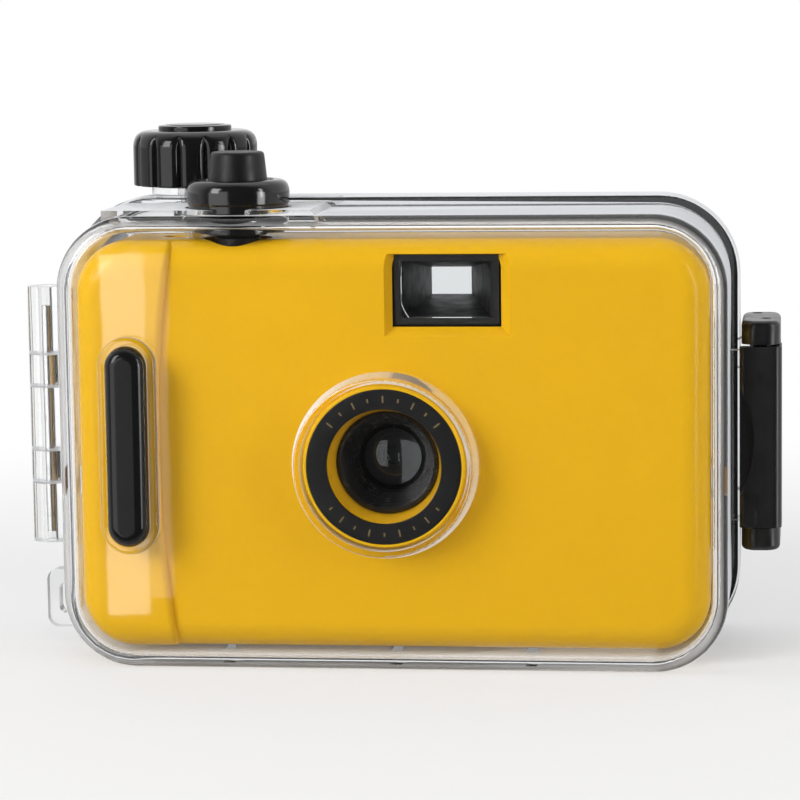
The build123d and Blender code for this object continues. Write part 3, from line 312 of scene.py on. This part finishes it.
def piece(name, body, material, replaced=()):
    """An empty mesh object that rides on a body and stands for these nodes."""
    made = bpy.data.objects.new(name, bpy.data.meshes.new(name))
    bpy.context.scene.collection.objects.link(made)
    made.data.materials.append(material)
    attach(made, body)
    if replaced:
        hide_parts(*replaced)
    return made


def round_off(made, angle=32.0):
    """Smooth shading with the edges sharper than this angle kept."""
    mesh = made.data
    mesh.polygons.foreach_set("use_smooth", np.ones(len(mesh.polygons), bool))
    mesh.set_sharp_from_angle(angle=np.radians(angle))


def keep_flats(made, angle):
    """Smooth shading that keeps flat faces flat, for a mesh of triangles. A corner's normal is
    the sum of the normals of the triangles round its vertex that turn from its own by less
    than the angle, and each counts as much as the whole flat area that it lies in."""
    mesh = made.data
    faces = len(mesh.polygons)
    corner = np.empty(3 * faces, np.int32)
    mesh.loops.foreach_get("vertex_index", corner)
    places = np.empty(3 * len(mesh.vertices))
    mesh.vertices.foreach_get("co", places)
    sides = places.reshape(-1, 3)[corner].reshape(-1, 3, 3)
    normal = np.cross(sides[:, 1] - sides[:, 0], sides[:, 2] - sides[:, 0])
    area = np.linalg.norm(normal, axis=1)
    normal /= np.maximum(area, 1e-16)[:, None]
    level = (normal * sides.mean(1)).sum(1)
    flat = np.unique(np.round(np.column_stack([normal * 500, level / (0.01 * MM)])),
                     axis=0, return_inverse=True)[1].ravel()
    weight = np.bincount(flat, area)[flat]
    # Every pair of corners that share a vertex, from the corners sorted by vertex
    order = np.argsort(corner, kind="stable")
    vertex, face = corner[order], order // 3
    first = np.searchsorted(vertex, vertex, "left")
    count = np.searchsorted(vertex, vertex, "right") - first
    own = np.repeat(np.arange(3 * faces), count)
    other = np.repeat(first - np.cumsum(count) + count, count) + np.arange(count.sum())
    own_face, other_face = face[own], face[other]
    near = (normal[own_face] * normal[other_face]).sum(1) > np.cos(np.radians(angle))
    own, other_face = own[near], other_face[near]
    total = np.stack([np.bincount(own, normal[other_face, axis] * weight[other_face],
                                  3 * faces) for axis in range(3)], 1)
    smooth = np.empty((3 * faces, 3))
    smooth[order] = total / np.maximum(np.linalg.norm(total, axis=1), 1e-30)[:, None]
    mesh.polygons.foreach_set("use_smooth", np.ones(faces, bool))
    mesh.normals_split_custom_set(smooth)


def smooth_copy(node, name, material, angle=32.0):
    """A merged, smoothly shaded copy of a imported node, which it stands for."""
    source = frame["nodes"][node]
    made = piece(name, source["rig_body"], material, (node,))
    work = bmesh.new()
    work.from_mesh(source.data)
    bmesh.ops.remove_doubles(work, verts=work.verts, dist=COPY_GAP)
    work.to_mesh(made.data)
    work.free()
    keep_flats(made, angle)
    return made


def fill_grid(made, points, wrap_u=True, wrap_v=False):
    """Faces over a grid of points. points is (rows along v, columns along u, 3); the grid
    joins its last column to its first where wrap_u is set, and rows where wrap_v is set."""
    rows, columns, _ = points.shape
    v, u = np.meshgrid(np.arange(rows - (not wrap_v)), np.arange(columns - (not wrap_u)),
                       indexing="ij")
    v, u = v.ravel(), u.ravel()
    next_v, next_u = (v + 1) % rows, (u + 1) % columns
    faces = np.stack([v * columns + u, v * columns + next_u, next_v * columns + next_u,
                      next_v * columns + u], 1)
    made.data.from_pydata(points.reshape(-1, 3), [], faces)
    tidy_mesh(made)


def tidy_mesh(made):
    """Merges doubles at seams and poles and turns all faces outwards."""
    work = bmesh.new()
    work.from_mesh(made.data)
    bmesh.ops.remove_doubles(work, verts=work.verts, dist=GRID_GAP)
    bmesh.ops.recalc_face_normals(work, faces=work.faces)
    work.to_mesh(made.data)
    work.free()


def rounded_line(corners, steps=6):
    """A profile with rounded corners. corners is a list of (r, h, radius) in metres; each
    corner with a radius becomes a quadratic curve from radius before it to radius after it."""
    points = []
    for index, (r, h, radius) in enumerate(corners):
        here = np.array((r, h))
        if not radius:
            points.append(here[None])
            continue
        before = np.array(corners[index - 1][:2]) - here
        after = np.array(corners[(index + 1) % len(corners)][:2]) - here
        start = here + before / np.linalg.norm(before) * radius
        end = here + after / np.linalg.norm(after) * radius
        t = np.linspace(0, 1, steps + 1)[:, None]
        points.append((1 - t) ** 2 * start + 2 * t * (1 - t) * here + t ** 2 * end)
    return np.concatenate(points)


def turned_upright(made, profile, x, y, sides=96, closed=True):
    """A surface turned about an upright axis: (r, h) goes to (x + r cos t, y + r sin t, h)."""
    t = np.linspace(0, 2 * np.pi, sides, endpoint=False)
    r, h = profile[:, :1], profile[:, 1:]
    points = np.stack([x + r * np.cos(t), y + r * np.sin(t), h + 0 * t], 2)
    fill_grid(made, points, True, closed)


def turned_forward(made, profile, x, z, sides=128, closed=True):
    """A surface turned about the lens axis: (r, h) goes to (x + r cos t, h, z + r sin t)."""
    t = np.linspace(0, 2 * np.pi, sides, endpoint=False)
    r, h = profile[:, :1], profile[:, 1:]
    points = np.stack([x + r * np.cos(t), h + 0 * t, z + r * np.sin(t)], 2)
    fill_grid(made, points, True, closed)


def slot_of(node):
    """The record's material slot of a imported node."""
    for part in frame["record"]["subparts"]:
        if part["node"] == node:
            return part["material_slot"]
    raise RuntimeError(f"the record has no part named {node}")


class FilmCameraFinishes(bpy.types.PropertyGroup):
    """Colours of the camera and its case"""

    yellow: FloatVectorProperty(
        name="Camera yellow", description="Colour of the camera's front cover", size=3,
        subtype="COLOR", min=0, max=1, default=(0.81, 0.455, 0.010))
    clear: FloatVectorProperty(
        name="Clear plastic", description="Tint of the clear case", size=3, subtype="COLOR",
        min=0, max=1, default=(0.975, 0.98, 0.985))
    black: FloatVectorProperty(
        name="Black", description="Colour of the black plastic parts", size=3, subtype="COLOR",
        min=0, max=1, default=(0.007, 0.007, 0.0075))
    ring: FloatVectorProperty(
        name="Lens ring", description="Colour of the ring round the lens", size=3,
        subtype="COLOR", min=0, max=1, default=(0.011, 0.011, 0.0117))
    gold: FloatVectorProperty(
        name="Gold ink", description="Colour of the marks on the lens ring", size=3,
        subtype="COLOR", min=0, max=1, default=(0.26, 0.19, 0.075))
    steel: FloatVectorProperty(
        name="Steel", description="Colour of pins and shafts", size=3, subtype="COLOR",
        min=0, max=1, default=(0.62, 0.61, 0.6))


class FilmCameraDetails(bpy.types.PropertyGroup):
    """Counts and sizes of the fine pieces"""

    flutes: IntProperty(name="Knob flutes", description="Flutes round the wind knob",
                        default=14, min=6, max=60)
    flute_depth: FloatProperty(name="Flute depth", description="Depth of the knob's flutes",
                               default=1.0 * MM, min=0, max=0.002, subtype="DISTANCE")
    ring_marks: IntProperty(name="Ring marks", description="Gold ticks on each arc of the ring",
                            default=9, min=0, max=40)
    mark_length: FloatProperty(name="Mark length", description="Length of a gold tick",
                               default=1.25 * MM, min=0, max=0.003, subtype="DISTANCE")
    barrel_steps: IntProperty(name="Barrel steps", description="Fine steps in the lens mouth",
                              default=7, min=2, max=20)


class FilmCameraStage(bpy.types.PropertyGroup):
    """Camera and lamps"""

    azimuth: FloatProperty(name="Azimuth", description="Camera's turn to the viewer's right",
                           default=np.radians(7.2), subtype="ANGLE")
    elevation: FloatProperty(name="Elevation", description="Camera's height angle",
                             default=np.radians(7.2), subtype="ANGLE")
    roll: FloatProperty(name="Roll", description="Camera's roll", default=np.radians(-0.795),
                        subtype="ANGLE")
    distance: FloatProperty(name="Distance", description="From the camera to its target",
                            default=0.59, min=0.1, subtype="DISTANCE")
    target: FloatVectorProperty(name="Target", description="What the camera looks at", size=3,
                                default=(0.156 * MM, -10 * MM, 46.04 * MM), subtype="XYZ")
    lens: FloatProperty(name="Lens length", description="Focal length in millimetres",
                        default=3312.1 / 800 * 36, min=10)
    window_power: FloatProperty(name="Window lamp", description="Power of the tall left lamp",
                                default=3.6, min=0, subtype="POWER")
    strip_power: FloatProperty(name="Strip lamp", description="Power of the narrow right lamp",
                               default=1.4, min=0, subtype="POWER")
    top_power: FloatProperty(name="Top lamp", description="Power of the wide top lamp",
                             default=0.4, min=0, subtype="POWER")
    room: FloatProperty(name="Room light", description="Level of the light from all round",
                        default=1.0, min=0, max=2)


class FilmCameraSettings(bpy.types.PropertyGroup):
    """All settings of the film camera"""

    finishes: PointerProperty(type=FilmCameraFinishes)
    details: PointerProperty(type=FilmCameraDetails)
    stage: PointerProperty(type=FilmCameraStage)


def settings():
    """The scene's settings of the film camera."""
    return bpy.context.scene.film_camera


def finish(key):
    """A finish by its key, which the finishes operator has made."""
    made = bpy.data.materials.get("finish " + key)
    if made is None:
        raise RuntimeError(f"there is no finish named {key}: make the finishes first")
    return made


class FILMCAMERA_OT_finishes(bpy.types.Operator):
    """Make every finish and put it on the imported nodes"""

    bl_idname = "film_camera.finishes"
    bl_label = "Make the finishes"

    def execute(self, context):
        c = settings().finishes
        black = tuple(c.black)
        # The clear case gets a painted white reflection where it is seen edge on
        see_through("finish clear_plastic", c.clear, 0.012, 1.5, ripple=0.004 * MM, edge_light_share=0.85)
        rubbery("finish black_rubber", black)
        moulded("finish grip_black", black, 0.16, grain_depth=0.001 * MM, shine=0.3)
        turned_steel("finish steel", c.steel)
        moulded("finish button_black", black, 0.13, grain_depth=0.001 * MM)
        moulded("finish button_satin", shade(black, 1.2), 0.42, grain=0.1 * MM,
                grain_depth=0.006 * MM, shine=0.28)
        moulded("finish knob_black", black, 0.13, grain_depth=0.001 * MM, waves=0.2, shine=0.35)
        moulded("finish gear_plastic", shade(black, 3.0), 0.45)
        moulded("finish clasp_black", shade(black, 1.1), 0.34, grain=0.16 * MM,
                grain_depth=0.007 * MM)
        moulded("finish yellow_plastic", c.yellow, 0.17, grain=0.2 * MM, grain_depth=0.0008 * MM,
                spread=0.012, shine=0.15)
        moulded("finish chassis_black", shade(black, 1.4), 0.5, grain=0.2 * MM,
                grain_depth=0.012 * MM)
        moulded("finish dial_white", (0.82, 0.82, 0.79), 0.4, spread=0.04)
        turned_steel("finish shutter_metal", (0.05, 0.05, 0.052), 0.4)
        moulded("finish ring_black", c.ring, 0.36, grain=0.09 * MM, grain_depth=0.003 * MM,
                shine=0.22)
        moulded("finish barrel_black", black, 0.26, grain=0.12 * MM, grain_depth=0.003 * MM,
                coat=0.2)
        see_through("finish lens_glass", (0.93, 0.96, 0.98), 0.004, 1.52, lamp_share=0.9)
        see_through("finish finder_glass", (0.97, 0.98, 0.98), 0.01, 1.12, lamp_share=0.95)
        printed("finish gold_ink", c.gold)
        for node, shape in frame["nodes"].items():
            shape.data.materials.clear()
            shape.data.materials.append(finish(slot_of(node)))
        for node in ("finder_lens", "finder_eyepiece"):
            frame["nodes"][node].data.materials[0] = finish("finder_glass")
        return {"FINISHED"}


class FILMCAMERA_OT_clear_case(bpy.types.Operator):
    """Smooth clear halves of the case, with the gasket and the fixed small parts"""

    bl_idname = "film_camera.clear_case"
    bl_label = "Dress the clear case"

    def execute(self, context):
        smooth_copy("front_shell", "case_front_clear", finish("clear_plastic"))
        smooth_copy("rear_shell", "case_rear_clear", finish("clear_plastic"))
        self.gasket()
        for node in ("button_foot", "button_ring", "button_stem", "knob_shaft", "hinge_pin",
                     "link_pin", "lever_pin", "knob_o_ring", "button_o_ring"):
            smooth_copy(node, node + "_smooth", finish(slot_of(node)))
        return {"FINISHED"}

    def gasket(self):
        """A black rubber lip along the outer edge of the seam, thin at the hinge and wide at the
        clasp. Its widening towards the clasp and the top right is painted shade, in place of the
        dark reflection of the case's side walls.
        """
        low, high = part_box("gasket")
        steps = 24
        t = np.linspace(0, np.pi / 2, steps)
        turns = np.concatenate([t + quarter * np.pi / 2 for quarter in range(4)])
        way = np.stack([np.cos(turns), np.sin(turns)], 1)
        corner = 14 * MM
        middle_x, middle_z = (low.x + high.x) / 2, (low.z + high.z) / 2
        reach = np.array([(high.x - low.x) / 2 - corner, (high.z - low.z) / 2 - corner])
        signs = np.repeat([(1, 1), (-1, 1), (-1, -1), (1, -1)], steps, 0)
        outer = np.array([middle_x, middle_z]) + signs * reach + way * corner
        # The width grows with the place along x and z by a smooth step: a real lip, widened as
        # painted shade for the dark reflection that the case's side walls show towards the clasp
        dark_band_share = np.clip((outer[:, 0] - middle_x) / (high.x - middle_x) * 0.5 + 0.6, 0, 1)
        dark_band_share = dark_band_share * np.where(way[:, 1] < -0.2, 0.25 + 0.75 * np.clip(
            (outer[:, 0] - high.x + 6 * MM) / (6 * MM), 0, 1), 1)
        width = (0.12 + 1.1 * dark_band_share ** 2)[:, None] * MM
        inner = outer - way * width
        rings = []
        for line, level in ((outer, low.y), (inner, low.y), (inner, high.y), (outer, high.y)):
            rings.append(np.stack([line[:, 0], 0 * line[:, 0] + level, line[:, 1]], 1))
        made = piece("case_gasket", frame["nodes"]["gasket"]["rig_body"],
                     finish("black_rubber"), ("gasket",))
        fill_grid(made, np.stack(rings), True, True)
        round_off(made)


class FILMCAMERA_OT_clasp(bpy.types.Operator):
    """Smooth clasp: its link and its lever"""

    bl_idname = "film_camera.clasp"
    bl_label = "Dress the clasp"

    def execute(self, context):
        smooth_copy("latch_link", "clasp_link_smooth", finish("clasp_black"))
        smooth_copy("latch_lever", "clasp_lever_smooth", finish("clasp_black"))
        return {"FINISHED"}


class FILMCAMERA_OT_camera_body(bpy.types.Operator):
    """Smooth yellow front and black rear of the camera inside"""

    bl_idname = "film_camera.camera_body"
    bl_label = "Dress the camera body"

    def execute(self, context):
        smooth_copy("camera_front_cover", "camera_yellow_front", finish("yellow_plastic"), 28.0)
        for node in ("camera_chassis", "cartridge_well", "chamber_roof"):
            smooth_copy(node, node + "_smooth", finish("chassis_black"), 28.0)
        smooth_copy("film_door", "camera_door_smooth", finish("chassis_black"), 28.0)
        smooth_copy("finder_frame", "finder_tunnel", finish("chassis_black"), 28.0)
        return {"FINISHED"}


class FILMCAMERA_OT_lens(bpy.types.Operator):
    """Ring, barrel and glass of the lens, each a turned surface"""

    bl_idname = "film_camera.lens"
    bl_label = "Dress the lens"

    def execute(self, context):
        front, back = RING_LOW.y, RING_HIGH.y
        inner = 10.05 * MM
        ring = piece("lens_face_ring", "case_front", finish("ring_black"),
                     ("lens_ring",))
        turned_forward(ring, rounded_line([
            (inner, back, 0), (inner, front, 0.2 * MM), (RING_RADIUS, front, 0.25 * MM),
            (RING_RADIUS, back, 0)]), LENS_X, LENS_Z)
        round_off(ring)

        # Barrel: a rounded rim, then shallow steps down to the glass and a bore behind it
        steps = settings().details.barrel_steps
        front, back = BARREL_LOW.y, BARREL_HIGH.y
        glass_back = GLASS_HIGH.y
        mouth, floor = BARREL_RADIUS - 1.15 * MM, GLASS_RADIUS + 0.05 * MM
        radii = np.linspace(mouth, floor, steps)
        depths = np.linspace(front + 0.35 * MM, GLASS_LOW.y + 0.3 * MM, steps)
        corners = [(BARREL_RADIUS, back, 0), (BARREL_RADIUS, front, 0.7 * MM),
                   (mouth, front, 0.2 * MM)]
        for index in range(steps - 1):
            corners.append((radii[index], depths[index + 1], 0))
            corners.append((radii[index + 1], depths[index + 1], 0.08 * MM))
        corners += [(floor, glass_back, 0), (floor - 1 * MM, glass_back, 0),
                    (floor - 1 * MM, back, 0)]
        barrel = piece("lens_barrel_steps", "case_front", finish("barrel_black"),
                       ("lens_barrel",))
        turned_forward(barrel, rounded_line(corners, 3), LENS_X, LENS_Z)
        round_off(barrel, 40)

        # Front glass: a dome whose height falls off with the square of the radius
        r = np.linspace(0, GLASS_RADIUS - 0.02 * MM, 24)
        dome = GLASS_LOW.y + (r / GLASS_RADIUS) ** 2 * 1.25 * MM
        rear = np.full(8, glass_back)
        profile = np.concatenate([np.stack([r, dome], 1),
                                  np.stack([np.linspace(r[-1], 0, 8), rear], 1)])
        glass = piece("lens_front_glass", "case_front", finish("lens_glass"),
                      ("lens_glass",))
        turned_forward(glass, profile, LENS_X, LENS_Z, closed=False)
        round_off(glass)
        return {"FINISHED"}


class FILMCAMERA_OT_ring_marks(bpy.types.Operator):
    """Plain gold ticks on two arcs of the lens ring"""

    bl_idname = "film_camera.ring_marks"
    bl_label = "Print the ring's marks"

    def execute(self, context):
        d = settings().details
        count, length, width = d.ring_marks, d.mark_length, 0.28 * MM
        angles = np.radians(np.concatenate([np.linspace(38, 142, count),
                                            np.linspace(218, 322, count)]))
        long = np.arange(2 * count) % 2 == 0
        # Each tick is a thin plate: four corners in front and four behind, along its radius
        reach = np.where(long, length, length * 0.55)[:, None] * np.array(
            [-0.5, 0.5, 0.5, -0.5, -0.5, 0.5, 0.5, -0.5])
        side = width * np.array([-0.5, -0.5, 0.5, 0.5, -0.5, -0.5, 0.5, 0.5])[None] + 0 * reach
        level = RING_LOW.y + MM * np.array([-0.015] * 4 + [0.02] * 4)[None] + 0 * reach
        radius = 11.85 * MM + reach
        cos, sin = np.cos(angles)[:, None], np.sin(angles)[:, None]
        points = np.stack([LENS_X + radius * cos - side * sin, level,
                           LENS_Z + radius * sin + side * cos], 2).reshape(-1, 3)
        box = np.array([(0, 1, 2, 3), (7, 6, 5, 4), (0, 4, 5, 1), (1, 5, 6, 2), (2, 6, 7, 3),
                        (3, 7, 4, 0)])
        faces = (box[None] + 8 * np.arange(2 * count)[:, None, None]).reshape(-1, 4)
        marks = piece("lens_ring_marks", "case_front", finish("gold_ink"))
        marks.data.from_pydata(points, [], faces)
        tidy_mesh(marks)
        return {"FINISHED"}


class FILMCAMERA_OT_wind_knob(bpy.types.Operator):
    """Fluted wind knob with its raised top disc"""

    bl_idname = "film_camera.wind_knob"
    bl_label = "Dress the wind knob"

    def execute(self, context):
        d = settings().details
        low, high = KNOB_LOW.z, KNOB_HIGH.z
        shaft = 2.25 * MM
        outer = rounded_line([(KNOB_RADIUS - 0.9 * MM, low, 0), (KNOB_RADIUS, low, 0.3 * MM),
                              (KNOB_RADIUS, high, 3.0 * MM), (DISC_RADIUS, high, 0)], 10)
        start, end = outer[:12], outer[12:]
        rise = np.linspace(0.05, 0.95, 10)[:, None]
        inside = np.array([(DISC_RADIUS, high - 0.02 * MM), (shaft, high - 0.02 * MM),
                           (shaft, low + 0.1 * MM), (4.1 * MM, low + 0.1 * MM),
                           (4.1 * MM, low + 6.7 * MM), (KNOB_RADIUS - 1.9 * MM, low + 6.7 * MM),
                           (KNOB_RADIUS - 1.9 * MM, low)])
        profile = np.concatenate([start, start[-1] * (1 - rise) + end[0] * rise, end, inside])
        # Flutes: between broad lobes the radius drops by the cube of 1 minus the size of
        # the sine of half the angle times the count. They fade over the rounded top
        sides = d.flutes * 28
        t = np.linspace(0, 2 * np.pi, sides, endpoint=False) + np.radians(-95.8)
        groove = (1 - np.abs(np.sin((t - t[0]) * d.flutes / 2))) ** 3
        r, h = profile[:, :1], profile[:, 1:]
        fade = np.clip((high - h - 0.8 * MM) / (2.4 * MM), 0, 1) ** 0.7
        skirt = (r > KNOB_RADIUS - 3.4 * MM) & (np.arange(len(r))[:, None] < len(r) - len(inside))
        r = r - d.flute_depth * groove * fade * skirt
        points = np.stack([KNOB_X + r * np.cos(t), KNOB_Y + r * np.sin(t), h + 0 * t], 2)
        knob = piece("wind_knob_fluted", "wind_knob", finish("knob_black"),
                     ("wind_knob",))
        fill_grid(knob, points, True, True)
        round_off(knob, 50)

        low, high = DISC_LOW.z, DISC_HIGH.z
        disc = piece("wind_knob_disc", "wind_knob", finish("knob_black"),
                     ("knob_disc",))
        turned_upright(disc, rounded_line([
            (0, low, 0), (DISC_RADIUS, low, 0), (DISC_RADIUS, high - 0.35 * MM, 0.25 * MM),
            (DISC_RADIUS - 1.3 * MM, high - 0.2 * MM, 0.2 * MM),
            (DISC_RADIUS - 1.6 * MM, high - 0.5 * MM, 0.1 * MM),
            (DISC_RADIUS - 1.9 * MM, high - 0.1 * MM, 0.2 * MM), (0, high - 0.02 * MM, 0)]),
            KNOB_X, KNOB_Y, closed=False)
        round_off(disc, 40)
        return {"FINISHED"}


class FILMCAMERA_OT_case_button(bpy.types.Operator):
    """Collar and cap of the case's shutter button, each a turned surface"""

    bl_idname = "film_camera.case_button"
    bl_label = "Dress the case button"

    def execute(self, context):
        low, high = COLLAR_LOW.z, COLLAR_HIGH.z
        bore = CAP_RADIUS + 0.3 * MM
        boss = 6.42 * MM
        collar = piece("button_collar_turned", "case_front", finish("button_black"),
                       ("button_collar",))
        turned_upright(collar, rounded_line([
            (boss, low, 0), (COLLAR_RADIUS - 0.25 * MM, low, 0.2 * MM),
            (COLLAR_RADIUS - 0.25 * MM, low + 1.5 * MM, 0.1 * MM),
            (COLLAR_RADIUS, low + 1.7 * MM, 0.1 * MM), (COLLAR_RADIUS, high, 2.2 * MM),
            (bore + 0.9 * MM, high, 0.4 * MM), (bore + 0.2 * MM, high - 0.5 * MM, 0.2 * MM),
            (bore, high - 1.5 * MM, 0), (boss, high - 1.5 * MM, 0)]), BUTTON_X, BUTTON_Y)
        round_off(collar, 40)

        low, high = CAP_LOW.z, CAP_HIGH.z
        top = CAP_RADIUS - 0.6 * MM
        cap = piece("button_cap_turned", "case_button", finish("button_satin"),
                    ("button_cap",))
        turned_upright(cap, rounded_line([
            (1.62 * MM, low + 2.5 * MM, 0), (1.62 * MM, low, 0), (CAP_RADIUS, low, 0.15 * MM),
            (top, high, 0.75 * MM), (top * 0.5, high - 0.05 * MM, 0), (0, high - 0.08 * MM, 0)]),
            BUTTON_X, BUTTON_Y, closed=False)
        round_off(cap, 40)
        return {"FINISHED"}


class FILMCAMERA_OT_grip(bpy.types.Operator):
    """Glossy grip strip, smoothly shaded"""

    bl_idname = "film_camera.grip"
    bl_label = "Dress the grip strip"

    def execute(self, context):
        smooth_copy("grip_strip", "grip_strip_smooth", finish("grip_black"))
        return {"FINISHED"}


class FILMCAMERA_OT_stage(bpy.types.Operator):
    """Pale floor, white surroundings, soft lamps and the camera"""

    bl_idname = "film_camera.stage"
    bl_label = "Set the stage"

    def execute(self, context):
        s = settings().stage
        self.world(s)
        self.floor()
        lamps = (("window_lamp", (-0.62, -0.62, 0.42), (0.3, 0.46), s.window_power),
                 ("strip_lamp", (0.75, -0.4, 0.3), (0.1, 0.5), s.strip_power),
                 ("top_lamp", (0.05, 0.15, 0.75), (0.7, 0.5), s.top_power))
        for name, place, size, power in lamps:
            lamp = bpy.data.lights.new(name, "AREA")
            lamp.shape, lamp.size, lamp.size_y, lamp.energy = "RECTANGLE", *size, power
            stand = bpy.data.objects.new(name, lamp)
            aim = Vector((0, 0, 0.045)) - Vector(place)
            stand.matrix_world = Matrix.Translation(place) @ aim.to_track_quat(
                "-Z", "Y").to_matrix().to_4x4()
            context.scene.collection.objects.link(stand)
        self.camera(context, s)
        context.scene.view_settings.view_transform = "Standard"
        return {"FINISHED"}

    def world(self, s):
        """White where the camera looks, a softer room with a darker front where it lights."""
        world = bpy.data.worlds.new("studio")
        world.cycles.sampling_method = "NONE"
        f = Finish(world)
        way = f.node("ShaderNodeTexCoord", output="Generated")
        level = Reading(f, f.node("ShaderNodeSeparateXYZ", inputs={0: way}, output=2))
        behind = Reading(f, f.node("ShaderNodeSeparateXYZ", inputs={0: way}, output=1))
        side = Reading(f, f.node("ShaderNodeSeparateXYZ", inputs={0: way}, output=0))
        room = s.room * (1 - 0.3 * level.clear_of(0.1, 0.9)) * (1 - 0.5 * side.clear_of(0.1, 0.8))
        mirror = 0.04 + 0.96 * behind.clear_of(-0.6, 0.15)
        # Softboxes that only gloss and inner faces show. Each is a rectangle in the tangents of
        # the angles across and up, as seen from the object towards the viewer
        ahead = (0 - behind).maximum(0.02)
        across, up = side / ahead, level / ahead
        for left, right, low, high, power in SOFTBOXES:
            mirror = mirror + power * ((across > left) * (1 - (across > right))
                                       * (up > low) * (1 - (up > high)))
        seen, mirrored = f.seen(), f.mirrored()
        strength = seen + (1 - seen) * (mirrored * mirror + (1 - mirrored) * room)
        bpy.context.scene.world = f.end(f.node("ShaderNodeBackground", inputs={
            "Color": (1, 1, 1, 1), "Strength": strength}))

    def floor(self):
        """A round floor that turns plain white away from the object, and keeps its shadow."""
        floor = bpy.data.objects.new("floor", bpy.data.meshes.new("floor"))
        bpy.context.scene.collection.objects.link(floor)
        t = np.linspace(0, 2 * np.pi, 64, endpoint=False)
        rim = np.stack([40 * np.cos(t), 40 * np.sin(t), 0 * t], 1)
        floor.data.from_pydata(rim, [], [tuple(range(64))])
        f = new_finish("pale floor")
        away = f.node("ShaderNodeVectorMath", {"operation": "LENGTH"}, {0: f.place()},
                      output="Value")
        far = Reading(f, away).clear_of(0.11, 0.3)
        grain = f.noise(1.5 * MM, 3.0, 0.6)
        paper = f.node("ShaderNodeBsdfDiffuse", inputs={
            "Color": f.blend(grain, (0.86, 0.86, 0.86, 1), (0.88, 0.88, 0.88, 1))})
        white = f.node("ShaderNodeEmission", inputs={"Color": (1, 1, 1, 1), "Strength": 1.0})
        lit = f.node("ShaderNodeMixShader", inputs={
            0: f.seen() * (0.35 + far * 0.65), 1: paper, 2: white})
        front = Reading(f, f.node("ShaderNodeSeparateXYZ", inputs={0: f.place()}, output=1))
        gone = f.node("ShaderNodeBsdfTransparent", inputs={"Color": (1, 1, 1, 1)})
        floor.data.materials.append(f.end(f.node("ShaderNodeMixShader", inputs={
            0: f.mirrored() * (1 - front.clear_of(-0.06, -0.03)), 1: lit, 2: gone})))

    def camera(self, context, s):
        """A camera turned by azimuth, elevation and roll about its target."""
        a, e, roll = s.azimuth, s.elevation, s.roll
        back = Vector((np.sin(a) * np.cos(e), -np.cos(a) * np.cos(e), np.sin(e)))
        right = Vector((np.cos(a), np.sin(a), 0))
        up = back.cross(right)
        turned_right = right * np.cos(roll) + up * np.sin(roll)
        turned_up = up * np.cos(roll) - right * np.sin(roll)
        eye = bpy.data.objects.new("camera", bpy.data.cameras.new("camera"))
        eye.data.lens, eye.data.sensor_width, eye.data.clip_start = s.lens, 36, 0.01
        axes = Matrix((turned_right, turned_up, back)).transposed().to_4x4()
        eye.matrix_world = Matrix.Translation(Vector(s.target) + back * s.distance) @ axes
        context.scene.collection.objects.link(eye)
        context.scene.camera = eye


STEPS = ("finishes", "clear_case", "clasp", "camera_body", "lens", "ring_marks", "wind_knob",
         "case_button", "grip", "stage")


class FILMCAMERA_PT_sidebar(bpy.types.Panel):
    """Settings and steps of the film camera"""

    bl_label = "Film camera"
    bl_idname = "FILMCAMERA_PT_sidebar"
    bl_space_type = "VIEW_3D"
    bl_region_type = "UI"
    bl_category = "Film camera"

    def draw(self, context):
        for group in ("finishes", "details", "stage"):
            box = self.layout.box()
            values = getattr(settings(), group)
            for key in values.__annotations__:
                box.prop(values, key)
        for step in STEPS:
            self.layout.operator("film_camera." + step)


CLASSES = (FilmCameraFinishes, FilmCameraDetails, FilmCameraStage, FilmCameraSettings,
           FILMCAMERA_OT_finishes, FILMCAMERA_OT_clear_case, FILMCAMERA_OT_clasp,
           FILMCAMERA_OT_camera_body, FILMCAMERA_OT_lens, FILMCAMERA_OT_ring_marks,
           FILMCAMERA_OT_wind_knob, FILMCAMERA_OT_case_button, FILMCAMERA_OT_grip,
           FILMCAMERA_OT_stage, FILMCAMERA_PT_sidebar)


def register():
    for made in CLASSES:
        bpy.utils.register_class(made)
    bpy.types.Scene.film_camera = PointerProperty(type=FilmCameraSettings)


def unregister():
    del bpy.types.Scene.film_camera
    for made in reversed(CLASSES):
        bpy.utils.unregister_class(made)


def main():
    """Runs every step in order."""
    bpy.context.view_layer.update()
    register()
    for step in STEPS:
        getattr(bpy.ops.film_camera, step)()


if __name__ == "__main__":
    main()
